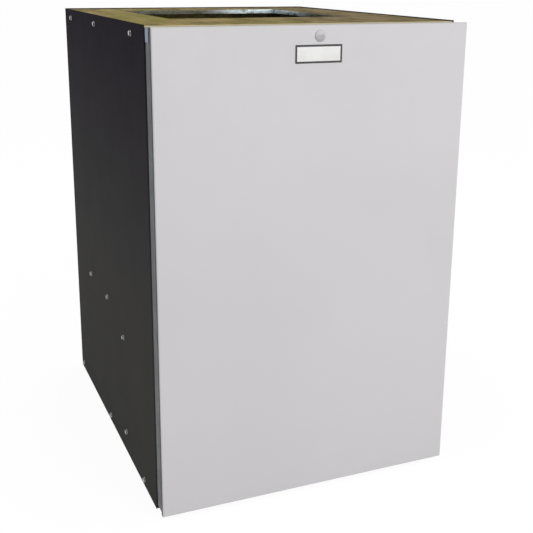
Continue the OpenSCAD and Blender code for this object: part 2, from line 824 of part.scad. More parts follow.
module motor_end_bells() {
    shoulder = 5;
    from_opening() color(plain_steel) translate([(motor_x0 + motor_x1) / 2, wheel_y, wheel_z])
        both_sides() translate([motor_len / 2, 0, 0]) rotate([0, 90, 0]) difference() {
            translate([0, 0, -bell_t]) rotate_extrude() polygon([[0, 0], [motor_r - 1, 0],
                [motor_r - 1, bell_t - shoulder], [motor_r - 1 - shoulder, bell_t], [0, bell_t]]);
            translate([0, 0, -bell_t - cut]) cylinder(h = bell_t + 2 * cut, r = shaft_r + shaft_clear);
        }
}

// Band around the motor with three arms that are screwed to the housing's right side
module motor_mount() {
    band_r = motor_r + band_clear;
    band_x = arm_x + band_t / 2;
    pad_r = inlet_r + inlet_curl + inlet_flange + 1;
    arm_r = band_r + band_t * 0.3;
    from_opening() color(plain_steel) translate([0, wheel_y, wheel_z]) {
        difference() {
            tube_x(band_r + band_t, band_x - band_w / 2, band_x + band_w / 2);
            tube_x(band_r, band_x - band_w, band_x + band_w);
        }
        for (a = [90, 210, 330]) rotate([a, 0, 0]) translate([0, 0, -arm_w / 2])
            linear_extrude(arm_w) polygon([[arm_x, arm_r], [arm_x + band_t, arm_r],
                [arm_x + band_t, arm_end_r], [housing_x, arm_end_r], [housing_x, pad_r],
                [arm_x, pad_r]]);
    }
}

module run_capacitor() {
    post_r = 3;
    post_h = 8;
    from_opening() color(foil) translate([capacitor_x, wheel_y + capacitor_y, capacitor_z]) {
        translate([0, 0, -capacitor_len / 2]) cylinder(h = capacitor_len, r = capacitor_r);
        for (x = [-8, 8])
            translate([x, 0, capacitor_len / 2]) cylinder(h = post_h, r = post_r);
    }
}

module capacitor_strap() {
    strap_r = capacitor_r + band_clear;
    strap_t = band_t / 2;
    strap_h = 14;
    ear = 12;
    from_opening() color(plain_steel) translate([capacitor_x, wheel_y + capacitor_y, capacitor_z])
        difference() {
            union() {
                translate([0, 0, -strap_h / 2]) cylinder(h = strap_h, r = strap_r + strap_t);
                block([housing_x - capacitor_x, -strap_r - ear, -strap_h / 2],
                    [housing_x - capacitor_x + strap_t, strap_r + ear, strap_h / 2]);
            }
            translate([0, 0, -strap_h]) cylinder(h = 2 * strap_h, r = strap_r);
        }
}

// The eight runs of one heater: [x, z] from the heater's middle
coil_places = [for (row = [0 : coil_rows - 1]) for (side = [-1, 1])
    [side * coil_dx / 2, (row - (coil_rows - 1) / 2) * coil_dz]];
// The two runs that end in cold pins
pin_places = [[-coil_dx / 2, -1.5 * coil_dz], [-coil_dx / 2, 1.5 * coil_dz]];

module at_heater(i) { from_opening() translate([heater_x(i), 0, heater_z]) children(); }

module heater_plate(i) {
    at_heater(i) color(plain_steel) difference() {
        block([-heater_plate_w / 2, heater_face, -heater_plate_h / 2],
            [heater_plate_w / 2, control_d, heater_plate_h / 2]);
        for (p = pin_places) translate([p[0], 0, p[1]])
            tube_y(pin_hole_r, heater_face - cut, control_d + cut);
        translate([-heater_x(i), 0, -heater_z])
            at_front_screws(heater_screws, heater_face) screw_hole();
    }
}

module heater_frame(i) {
    at_heater(i) color(plain_steel) difference() {
        union() {
            for (z = [-rod_dz, rod_dz]) translate([0, 0, z])
                tube_y(rod_r, control_d, control_d + heater_len);
            for (y = spacer_y)
                block([-spacer_w / 2, y, -spacer_h / 2], [spacer_w / 2, y + sheet, spacer_h / 2]);
        }
        for (p = coil_places, y = spacer_y) translate([p[0], 0, p[1]])
            tube_y(ceramic_hole_r, y - cut, y + sheet + cut);
    }
}

// Heating coils as plain runs of the coil's outer radius, joined by links at their ends
module heater_coil(i) {
    back = coil_y1 - coil_r;
    front = coil_y0 + coil_r;
    at_heater(i) color(black_plastic) {
        for (p = coil_places) translate([p[0], 0, p[1]]) tube_y(coil_r, coil_y0, coil_y1);
        for (row = [0 : coil_rows - 1])
            translate([0, back, (row - (coil_rows - 1) / 2) * coil_dz])
                tube_x(link_r, -coil_dx / 2, coil_dx / 2);
        for (row = [0 : coil_rows - 2]) let (side = row % 2 == 0 ? 1 : -1)
            translate([side * coil_dx / 2, front, (row - (coil_rows - 1) / 2) * coil_dz])
                cylinder(h = coil_dz, r = link_r);
        for (p = pin_places) translate([p[0], 0, p[1]]) tube_y(pin_r, pin_y, coil_y0 + 1);
    }
}

// Tube of ceramic through a hole in a plate from y0 to y0 + t, with a collar behind the plate
module ceramic(bore_r, hole_r, y0, t) {
    collar_t = 3;
    stub = 3;
    difference() {
        union() {
            tube_y(hole_r - ceramic_clear / 2, y0 - stub, y0 + t + collar_t);
            tube_y(hole_r + ceramic_collar, y0 + t, y0 + t + collar_t);
        }
        tube_y(bore_r, y0 - stub - cut, y0 + t + collar_t + cut);
    }
}

module heater_insulators() {
    color("white") for (i = [0 : heater_count - 1]) at_heater(i) {
        for (p = coil_places, y = spacer_y) translate([p[0], 0, p[1]])
            ceramic(coil_r + ceramic_clear / 2, ceramic_hole_r, y, sheet);
        for (p = pin_places) translate([p[0], 0, p[1]])
            ceramic(pin_r + ceramic_clear / 2, pin_hole_r, heater_face, heater_plate_t);
    }
}

module limit_switches() {
    color(black_plastic) for (i = [0 : heater_count - 1]) at_heater(i) difference() {
        union() {
            tube_y(limit_r, heater_face - limit_t, heater_face);
            block([-limit_r - 8, heater_face - 2, -5], [limit_r + 8, heater_face, 5]);
            for (x = [-6, 6])
                block([x - 0.4, heater_face - limit_t - spade_len, -3], [x + 0.4, heater_face - limit_t, 3]);
        }
    }
}

module sequencer(i) {
    body_y = control_d - sequencer_plate_t - sequencer_t;
    from_opening() color(black_plastic) translate([sequencer_x[i], 0, row_z]) {
        block([-25, control_d - sequencer_plate_t, -22], [25, control_d, 22]);
        tube_y(sequencer_r, body_y, control_d - sequencer_plate_t);
        for (x = [-spade_dx, spade_dx], z = [-8, 8])
            block([x - 3, spade_y, z - 0.4], [x + 3, body_y, z + 0.4]);
    }
}

module fan_relay() {
    relay_y = control_d - relay_size[1];
    from_opening() color(black_plastic) translate([relay_x, 0, row_z]) {
        block([-relay_size[0] / 2, relay_y, -relay_size[2] / 2],
            [relay_size[0] / 2, control_d, relay_size[2] / 2]);
        for (x = [-spade_dx, spade_dx])
            block([x - 3, relay_y - spade_len, -8.4], [x + 3, relay_y, -7.6]);
    }
}

// Laminated core with its two feet and a window on either side of the middle leg
module transformer_core() {
    core_y = control_d - transformer_size[1];
    window = [10, 30];
    from_opening() color([0.25, 0.25, 0.27]) translate([transformer_x, 0, high_z]) difference() {
        union() {
            block([-transformer_size[0] / 2, core_y, -transformer_size[2] / 2],
                [transformer_size[0] / 2, control_d - 8, transformer_size[2] / 2]);
            block([-transformer_size[0] / 2 - 9, control_d - sequencer_plate_t, -9],
                [transformer_size[0] / 2 + 9, control_d, 9]);
            block([-transformer_size[0] / 2, control_d - 8, -9],
                [transformer_size[0] / 2, control_d - sequencer_plate_t, 9]);
        }
        both_sides() block([9, core_y - cut, -window[1] / 2], [9 + window[0], control_d - 8, window[1] / 2]);
    }
}

module transformer_coil() {
    core_y = control_d - transformer_size[1];
    fill = 0.3;
    from_opening() color([0.75, 0.68, 0.45]) translate([transformer_x, 0, high_z]) {
        both_sides() block([9 + fill, core_y - 6, -15 + fill], [19 - fill, control_d - 8 - fill, 15 - fill]);
        block([-19 + fill, core_y - 6, -15 + fill], [19 - fill, core_y - fill, 15 - fill]);
    }
}

module thermostat_terminals() {
    strip_y = control_d - strip_size[1];
    from_opening() color(black_plastic) translate([strip_x, 0, high_z]) {
        block([-strip_size[0] / 2, strip_y, -strip_size[2] / 2],
            [strip_size[0] / 2, control_d, strip_size[2] / 2]);
        for (k = [-2.5 : 2.5]) translate([k * 17, 0, 0]) tube_y(4, strip_y - 3, strip_y);
    }
}

module ground_lug() {
    from_opening() color(foil) translate([lug_x, 0, high_z]) difference() {
        block([-8, control_d - 18, -8], [8, control_d, 8]);
        translate([0, control_d - 10, -8 - cut]) cylinder(h = 16 + 2 * cut, r = 4);
    }
}

// Hat shaped bracket that carries both breakers
module breaker_bracket() {
    x0 = breaker_mid_x - bracket_w / 2;
    x1 = breaker_mid_x + bracket_w / 2;
    z0 = breaker_z - bracket_h / 2;
    z1 = breaker_z + bracket_h / 2;
    t = 1.5;
    foot = 10;
    from_opening() color(plain_steel) {
        block([x0, bracket_y, z0], [x1, bracket_y + t, z1]);
        block([x0, bracket_y + t, z0], [x1, control_d, z0 + t]);
        block([x0, bracket_y + t, z1 - t], [x1, control_d, z1]);
        block([x0, control_d - t, z1], [x1, control_d, z1 + foot]);
    }
}

module breaker(i) {
    from_opening() color(black_plastic) translate([breaker_x[i], 0, breaker_z]) difference() {
        union() {
            block([-breaker_w / 2, breaker_y, -breaker_h / 2], [breaker_w / 2, bracket_y, breaker_h / 2]);
            block([-breaker_w / 2, breaker_y - nose_t, -nose_h / 2], [breaker_w / 2, breaker_y, nose_h / 2]);
        }
        block([-slot_w / 2, breaker_y - nose_t - cut, -slot_h / 2],
            [slot_w / 2, breaker_y - nose_t + slot_d, slot_h / 2]);
    }
}

// Toggle in its on position: a round root across the slot and a wedge shaped lever
module breaker_toggle(i) {
    half = slot_w / 2 - toggle_gap;
    from_opening() color([0.85, 0.85, 0.83]) translate([breaker_x[i], toggle_y, breaker_z]) {
        tube_x(toggle_r, -half, half);
        rotate([-toggle_angle, 0, 0])
            block([-half + 4, -toggle_len, -3], [half - 4, 0, 3]);
    }
}

function unit(v) = v / norm(v);
// A route's points with each corner rounded off along a curve that starts `r` before it
function rounded(route, r) = concat([route[0]],
    [for (i = [1 : len(route) - 2]) let (a = unit(route[i - 1] - route[i]), b = unit(route[i + 1] - route[i]))
        for (k = [0 : 4]) let (t = k / 4)
            (1 - t) * (1 - t) * (route[i] + a * r) + 2 * t * (1 - t) * route[i] + t * t * (route[i] + b * r)],
    [route[len(route) - 1]]);
function heading(path, i) = i == 0 ? unit(path[1] - path[0])
    : i == len(path) - 1 ? unit(path[i] - path[i - 1])
    : unit(unit(path[i + 1] - path[i]) + unit(path[i] - path[i - 1]));
function square_to(u, t) = unit(u - (u * t) * t);

// A wire of radius r along a route
module wire(route, r, bend = 8) {
    sides = 8;
    path = len(route) > 2 ? rounded(route, bend) : route;
    last = len(path) - 1;
    first = heading(path, 0);
    start = abs(first[0]) > 0.5 ? [0, 0, 1] : [1, 0, 0];
    across = [for (i = 0, u = square_to(start, first); i <= last;
        i = i + 1, u = i <= last ? square_to(u, heading(path, i)) : u) u];
    points = [for (i = [0 : last]) let (u = across[i], w = cross(heading(path, i), u))
        for (k = [0 : sides - 1]) let (a = k * 360 / sides) path[i] + r * (cos(a) * u + sin(a) * w)];
    polyhedron(points, concat(
        [[for (k = [0 : sides - 1]) k]],
        [[for (k = [sides - 1 : -1 : 0]) last * sides + k]],
        [for (i = [0 : last - 1], k = [0 : sides - 1]) let (
            a = i * sides + k,
            b = i * sides + (k + 1) % sides)
            each [[a, a + sides, b + sides], [a, b + sides, b]]]));
}

// Routes of the power wires: from the breakers down and across to the sequencers and the
// relay, from the sequencers to the heaters' upper pins, and back from their lower pins
breaker_foot = breaker_z - breaker_h / 2 - wire_gap;
run_y = 112;
drop_y = 130;
feed_y = drop_y - 10;
return_run_y = 95;
line_ends = concat([for (i = [2, 1, 0]) sequencer_x[i] + spade_dx], [relay_x + spade_dx]);
line_starts = [for (x = breaker_x) for (side = [-1, 1]) x + side * pole_dx];
relay_spade_y = control_d - relay_size[1] - spade_len;
line_routes = [for (k = [0 : 3]) let (
    z = deck_z + 20 - 7 * k,
    end_y = (k < 3 ? spade_y : relay_spade_y) - wire_gap)
    [[line_starts[k], run_y, breaker_foot], [line_starts[k], run_y, z], [line_ends[k], run_y, z],
        [line_ends[k], drop_y, z], [line_ends[k], drop_y, spade_z], [line_ends[k], end_y, spade_z]]];
feed_z = [deck_z - 22, deck_z - 22, deck_z - 12];
feed_routes = [for (i = [0 : heater_count - 1]) let (
    x0 = sequencer_x[i] - spade_dx,
    x1 = heater_x(i) + pin_places[1][0],
    pin_z = heater_z + pin_places[1][1])
    [[x0, spade_y - wire_gap, spade_z], [x0, feed_y, spade_z], [x0, feed_y, feed_z[i]],
        [x1, feed_y, feed_z[i]], [x1, feed_y, pin_z], [x1, pin_y - wire_gap, pin_z]]];
return_routes = [for (i = [0 : heater_count - 1]) let (
    x0 = heater_x(i) + pin_places[0][0],
    x1 = breaker_x[1] + pole_dx * (1 - i),
    pin_z = heater_z + pin_places[0][1],
    low_z = 24 + 8 * i)
    [[x0, pin_y - wire_gap, pin_z], [x0, return_run_y, pin_z], [x0, return_run_y, low_z],
        [x1, return_run_y, low_z], [x1, return_run_y, breaker_foot]]];

lead_y = 150;
bell_face = motor_x1 + wire_gap;
motor_lead = [[relay_x, lead_y + 10, row_z + relay_size[2] / 2 + wire_gap],
    [relay_x, lead_y + 10, lead_hole_z], [relay_x, control_d + 10, lead_hole_z],
    [motor_x1 + 30, control_d + 10, lead_hole_z], [motor_x1 + 30, wheel_y + 40, lead_hole_z],
    [bell_face, wheel_y + 40, lead_hole_z]];
capacitor_top = capacitor_z + capacitor_len / 2 + 8 + wire_gap;
capacitor_lead = [[capacitor_x + 8, wheel_y + capacitor_y, capacitor_top],
    [capacitor_x + 8, wheel_y + capacitor_y, capacitor_top + 20],
    [motor_x1 + 22, wheel_y + capacitor_y, capacitor_top + 20],
    [motor_x1 + 22, wheel_y - 20, capacitor_top + 20], [bell_face, wheel_y - 20, capacitor_top + 20]];

module power_wires() {
    from_opening() color(black_plastic) {
        for (route = concat(line_routes, feed_routes, return_routes)) wire(route, wire_r);
        wire(motor_lead, lead_r);
        wire(capacitor_lead, wire_r);
    }
}

strip_foot = high_z - strip_size[2] / 2 - wire_gap;
body_top = row_z + sequencer_r + wire_gap;

module control_wires() {
    transformer_edge = transformer_x + transformer_size[0] / 2 + wire_gap;
    strip_edge = strip_x - strip_size[0] / 2 - wire_gap;
    strip_wire_y = control_d - 9;
    from_opening() color([0.75, 0.2, 0.15]) {
        for (i = [1, 2]) wire([[sequencer_x[i], strip_wire_y, strip_foot],
            [sequencer_x[i], strip_wire_y, body_top]], thin_wire_r);
        wire([[strip_x - 50, strip_wire_y, strip_foot], [strip_x - 50, strip_wire_y, strip_foot - 24],
            [sequencer_x[0], strip_wire_y, strip_foot - 24], [sequencer_x[0], strip_wire_y, body_top]],
            thin_wire_r);
        for (z = [-5, 5]) wire([[transformer_edge, strip_wire_y - 2, high_z + z],
            [strip_edge, strip_wire_y - 2, high_z + z]], thin_wire_r);
    }
}

side_panel_left();
side_panel_right();
back_panel();
top_panel();
base_panel();
base_fittings();
partition();
blower_access_panel();
blower_deck();
liners();
door_gasket();
cable_bushings();
side_screws_left();
side_screws_right();
back_screws_all();  // back_screws
panel_screws();
door_skin();
door_frame();
door_liner();
door_fastener();
fastener_sleeve();
blower_scroll();
blower_side_left();
blower_side_right();
inlet_ring_left();
inlet_ring_right();
blower_wheel();
wheel_hub();
motor_shaft();
motor_shell();
motor_end_bells();
motor_mount();
run_capacitor();
capacitor_strap();
heater_insulators();
limit_switches();
transformer_core();
transformer_coil();
fan_relay();
thermostat_terminals();
breaker_bracket();
ground_lug();
power_wires();
control_wires();
for (i = [0 : heater_count - 1]) {
    heater_plate(i);
    heater_frame(i);
    heater_coil(i);
    sequencer(i);
}
for (i = [0, 1]) {
    breaker(i);
    breaker_toggle(i);
}
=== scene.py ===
"""Upright electric furnace, modelled piece by piece around its packed CAD frame. Metres, +Z up."""
import json
from contextlib import contextmanager
from functools import cache, cached_property
from math import cos, pi, radians, sin

import bmesh
import bpy
from bpy.props import FloatProperty, FloatVectorProperty, IntProperty, PointerProperty
from mathutils import Matrix, Vector

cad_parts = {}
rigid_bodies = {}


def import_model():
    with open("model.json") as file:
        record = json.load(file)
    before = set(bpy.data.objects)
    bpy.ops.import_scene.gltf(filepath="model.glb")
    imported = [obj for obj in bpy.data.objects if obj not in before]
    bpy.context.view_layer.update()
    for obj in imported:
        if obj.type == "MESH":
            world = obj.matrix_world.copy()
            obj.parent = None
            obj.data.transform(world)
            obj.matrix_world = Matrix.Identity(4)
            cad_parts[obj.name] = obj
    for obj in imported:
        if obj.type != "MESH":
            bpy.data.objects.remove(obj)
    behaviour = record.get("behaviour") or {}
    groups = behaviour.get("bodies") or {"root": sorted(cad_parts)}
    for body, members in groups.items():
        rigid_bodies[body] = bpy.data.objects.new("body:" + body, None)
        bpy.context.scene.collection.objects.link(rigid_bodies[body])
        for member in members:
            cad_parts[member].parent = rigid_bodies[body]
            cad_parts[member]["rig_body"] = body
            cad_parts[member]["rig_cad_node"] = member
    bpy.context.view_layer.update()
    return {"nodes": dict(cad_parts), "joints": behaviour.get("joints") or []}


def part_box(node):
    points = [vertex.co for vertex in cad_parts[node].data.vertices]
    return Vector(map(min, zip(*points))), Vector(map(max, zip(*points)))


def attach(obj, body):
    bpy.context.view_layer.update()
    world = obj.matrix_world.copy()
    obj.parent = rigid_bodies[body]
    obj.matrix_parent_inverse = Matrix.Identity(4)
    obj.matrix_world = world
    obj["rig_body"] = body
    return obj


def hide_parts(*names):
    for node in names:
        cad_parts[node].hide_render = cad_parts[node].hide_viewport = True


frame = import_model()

bl_info = {
    "name": "Electric furnace",
    "version": (1, 0, 0),
    "blender": (4, 5, 0),
    "location": "3D View > Sidebar > Furnace",
    "description": "Models and finishes the pieces of an upright electric furnace",
    "category": "Add Mesh",
}

MM = 0.001
X, Y, Z = Vector((1, 0, 0)), Vector((0, 1, 0)), Vector((0, 0, 1))
SIDE_LOW, SIDE_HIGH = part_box("side_panel_right")
FRONT = SIDE_LOW.y
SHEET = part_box("back_panel")[1].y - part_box("back_panel")[0].y
# How far two places may lie apart and count as the same
NEAR = 0.01 * MM
# Least part of a normal along an axis at which a face counts as square to it
SQUARE = 0.9
# Least area of a face that counts as the large middle of a panel, in square metres
LARGE = 0.2


def srgb(red, green, blue):
    """A colour given in 0 to 255, as the linear values that shaders use"""
    values = [v / 255 for v in (red, green, blue)]
    return tuple(v / 12.92 if v <= 0.04045 else ((v + 0.055) / 1.055) ** 2.4 for v in values)


# Modelling tools


def only(obj):
    """Makes obj the one object that is selected and active"""
    for other in bpy.context.selected_objects:
        other.select_set(False)
    obj.select_set(True)
    bpy.context.view_layer.objects.active = obj
    return obj


def settle(obj, name):
    """Names the new object and puts its place, turn and size into its mesh"""
    obj.name = obj.data.name = name
    only(obj)
    bpy.ops.object.transform_apply(location=True, rotation=True, scale=True)
    return obj


def box(name, low, high):
    """A box between two corners"""
    low, high = Vector(low), Vector(high)
    bpy.ops.mesh.primitive_cube_add(size=1, location=(low + high) / 2)
    bpy.context.object.scale = high - low
    return settle(bpy.context.object, name)


def rod(name, radius, start, end, sides=32):
    """A closed cylinder from one point to another"""
    start, end = Vector(start), Vector(end)
    bpy.ops.mesh.primitive_cylinder_add(
        vertices=sides, radius=radius, depth=(end - start).length, location=(start + end) / 2,
        rotation=(end - start).to_track_quat("Z", "Y").to_euler())
    return settle(bpy.context.object, name)


def pick(obj, kind, test):
    """Goes into edit mode and selects the faces, edges or corners that pass the test"""
    only(obj)
    bpy.ops.object.mode_set(mode="EDIT")
    bpy.ops.mesh.select_mode(type=kind)
    bpy.ops.mesh.select_all(action="DESELECT")
    mesh = bmesh.from_edit_mesh(obj.data)
    mesh.normal_update()
    for element in {"VERT": mesh.verts, "EDGE": mesh.edges, "FACE": mesh.faces}[kind]:
        if test(element):
            element.select_set(True)
    mesh.select_flush_mode()
    bmesh.update_edit_mesh(obj.data)


@contextmanager
def picked(obj, kind, test):
    """Edit mode with what passes the test selected, and object mode again at its end"""
    pick(obj, kind, test)
    yield
    bpy.ops.object.mode_set(mode="OBJECT")


def everything(element):
    """Test that each face, edge or corner passes"""
    return True


def facing(direction):
    """Test for faces that look straight in a direction"""
    return lambda face: face.normal.dot(direction) > 0.999


def middle(element):
    """The middle of an edge or a face"""
    if isinstance(element, bmesh.types.BMFace):
        return element.calc_center_median()
    return (element.verts[0].co + element.verts[1].co) / 2


def folds(edge):
    """Test for edges at which two faces meet at an angle"""
    return len(edge.link_faces) == 2 and edge.calc_face_angle(0) > 0.6


def runs(edge, direction):
    """Whether an edge lies along a direction"""
    return abs((edge.verts[1].co - edge.verts[0].co).normalized().dot(direction)) > 0.99


def end_folds(axis, place):
    """Test for the folds of a round piece's end, which lies at a place along an axis"""
    return lambda edge: folds(edge) and abs(middle(edge).dot(axis) - place) < NEAR


def delete_faces(obj, test):
    """Opens a mesh where its faces pass the test"""
    with picked(obj, "FACE", test):
        bpy.ops.mesh.delete(type="FACE")


def bevel_edges(obj, test, width, segments):
    """Rounds the edges that pass the test"""
    with picked(obj, "EDGE", test):
        bpy.ops.mesh.bevel(offset=width, segments=segments, affect="EDGES", clamp_overlap=True)


def pull_edges(obj, test, way):
    """Pulls new faces out of the edges that pass the test"""
    with picked(obj, "EDGE", test):
        bpy.ops.mesh.extrude_edges_move(TRANSFORM_OT_translate={"value": way})


def cut_at(obj, axis, *places):
    """Cuts the whole mesh along planes square to an axis"""
    for place in places:
        with picked(obj, "FACE", everything):
            bpy.ops.mesh.bisect(plane_co=axis * place, plane_no=axis)


def inset(obj, direction, *steps):
    """Insets the face that looks in a direction, each step by a width and a rise"""
    with picked(obj, "FACE", facing(direction)):
        for width, rise in steps:
            bpy.ops.mesh.inset(thickness=width, depth=rise)


def resize(obj, test, factors, centre=(0, 0, 0)):
    """Scales the corners that pass the test about a centre"""
    with picked(obj, "VERT", test):
        bpy.ops.transform.resize(value=factors, center_override=centre)


def modify(obj, kind, **settings):
    """Adds a modifier with these settings and applies it"""
    only(obj)
    modifier = obj.modifiers.new(kind.title(), kind)
    for name, value in settings.items():
        setattr(modifier, name, value)
    bpy.ops.object.modifier_apply(modifier=modifier.name)
    return obj


def thicken(obj):
    """Turns a folded surface into sheet metal, inwards from its outer side"""
    return modify(obj, "SOLIDIFY", thickness=SHEET, offset=-1.0, use_even_offset=True)


def keep_within(obj, low, high):
    """Pulls corners that stray out of a box back to its sides"""
    for corner in obj.data.vertices:
        corner.co = [min(max(place, least), most) for place, least, most in zip(corner.co, low, high)]


def break_edges(obj, width, segments=2, angle=35):
    """Rounds every edge that is sharper than an angle in degrees"""
    return modify(obj, "BEVEL", width=width, segments=segments, limit_method="ANGLE",
                  angle_limit=radians(angle), use_clamp_overlap=True)


def cut_out(obj, tool):
    """Cuts the tool's shape out of obj and throws the tool away"""
    modify(obj, "BOOLEAN", operation="DIFFERENCE", solver="EXACT", object=tool)
    bpy.data.objects.remove(tool)
    return obj


def joined(name, pieces):
    """Several objects as one"""
    only(pieces[0])
    for piece in pieces[1:]:
        piece.select_set(True)
    if len(pieces) > 1:
        bpy.ops.object.join()
    return settle(bpy.context.view_layer.objects.active, name)


def copied(obj, matrix):
    """A copy with its own mesh, moved by a matrix"""
    new = obj.copy()
    new.data = obj.data.copy()
    bpy.context.scene.collection.objects.link(new)
    new.data.transform(matrix)
    if matrix.determinant() < 0:
        new.data.flip_normals()
    return new


def dressed(name, node, width=0.3 * MM, segments=2):
    """A copy of a CAD node with merged points and its sharp edges broken"""
    obj = frame["nodes"][node].copy()
    obj.data = obj.data.copy()
    obj.parent = None
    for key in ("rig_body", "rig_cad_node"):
        del obj[key]
    bpy.context.scene.collection.objects.link(obj)
    obj.name = obj.data.name = name
    with picked(obj, "FACE", everything):
        bpy.ops.mesh.remove_doubles(threshold=0.001 * MM)
        bpy.ops.mesh.dissolve_limited(angle_limit=radians(0.5))
    if width:
        break_edges(obj, width, segments)
    return obj


def tube(name, points, radius, resolution):
    """A round wire along points, closed at its ends"""
    curve = bpy.data.curves.new(name, "CURVE")
    curve.dimensions = "3D"
    curve.bevel_depth = radius
    curve.bevel_resolution = resolution
    curve.use_fill_caps = True
    spline = curve.splines.new("POLY")
    spline.points.add(len(points) - 1)
    for point, place in zip(spline.points, points):
        point.co = (*place, 1)
    obj = bpy.data.objects.new(name, curve)
    bpy.context.scene.collection.objects.link(obj)
    only(obj)
    bpy.ops.object.convert(target="MESH")
    with picked(bpy.context.object, "FACE", everything):
        bpy.ops.mesh.remove_doubles(threshold=0.0001 * MM)
    return bpy.context.object


def rounded(route, radius, steps=6):
    """A route's points with each corner rounded off"""
    points = [Vector(p) for p in route]
    path = [points[0]]
    for before, corner, after in zip(points, points[1:], points[2:]):
        start = corner + (before - corner).normalized() * radius
        end = corner + (after - corner).normalized() * radius
        for k in range(steps + 1):
            t = k / steps
            path.append(start * (1 - t) ** 2 + corner * 2 * t * (1 - t) + end * t ** 2)
    return path + [points[-1]]


def paint(obj, finish, test):
    """Gives a second finish to the faces whose centre and normal, c and n, pass the test"""
    obj.data.materials.append(FINISHES[finish]())
    index = len(obj.data.materials) - 1
    for face in obj.data.polygons:
        if test(face.center, face.normal):
            face.material_index = index


def deliver(obj, finish, *nodes, body=None, slot=None, smooth=32):
    """Ends a piece: its shading and finish, the CAD nodes it stands for and their body; its slot is not
    used
    """
    only(obj)
    bpy.ops.object.shade_smooth_by_angle(angle=radians(smooth))
    modify(obj, "WEIGHTED_NORMAL", keep_sharp=True)
    if finish:
        obj.data.materials.clear()
        obj.data.materials.append(FINISHES[finish]())
        for face in obj.data.polygons:
            face.material_index = 0
    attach(obj, body or frame["nodes"][nodes[0]]["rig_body"])
    if nodes:
        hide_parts(*nodes)
    return obj


def carry(name, node, finish, width=0.3 * MM, segments=2, smooth=32):
    """Delivers a CAD node's own shape with its sharp edges broken"""
    return deliver(dressed(name, node, width, segments), finish, node, smooth=smooth)


# Shader maths


class Value:
    """A number that runs through a shader: sums on it add Math nodes"""

    def __init__(self, finish, socket):
        self.finish, self.socket = finish, socket

    def maths(self, operation, *others):
        """A Math node on this value and others"""
        return self.finish.node("Math", {"operation": operation}, dict(enumerate((self, *others))))

    def __add__(self, other):
        return self.maths("ADD", other)

    __radd__ = __add__

    def __mul__(self, other):
        return self.maths("MULTIPLY", other)

    __rmul__ = __mul__

    def __sub__(self, other):
        return self.maths("SUBTRACT", other)

    def __rsub__(self, other):
        return self.finish.node("Math", {"operation": "SUBTRACT"}, {0: other, 1: self})

    def also(self, output):
        """Another output of the same node"""
        return Value(self.finish, self.socket.node.outputs[output])


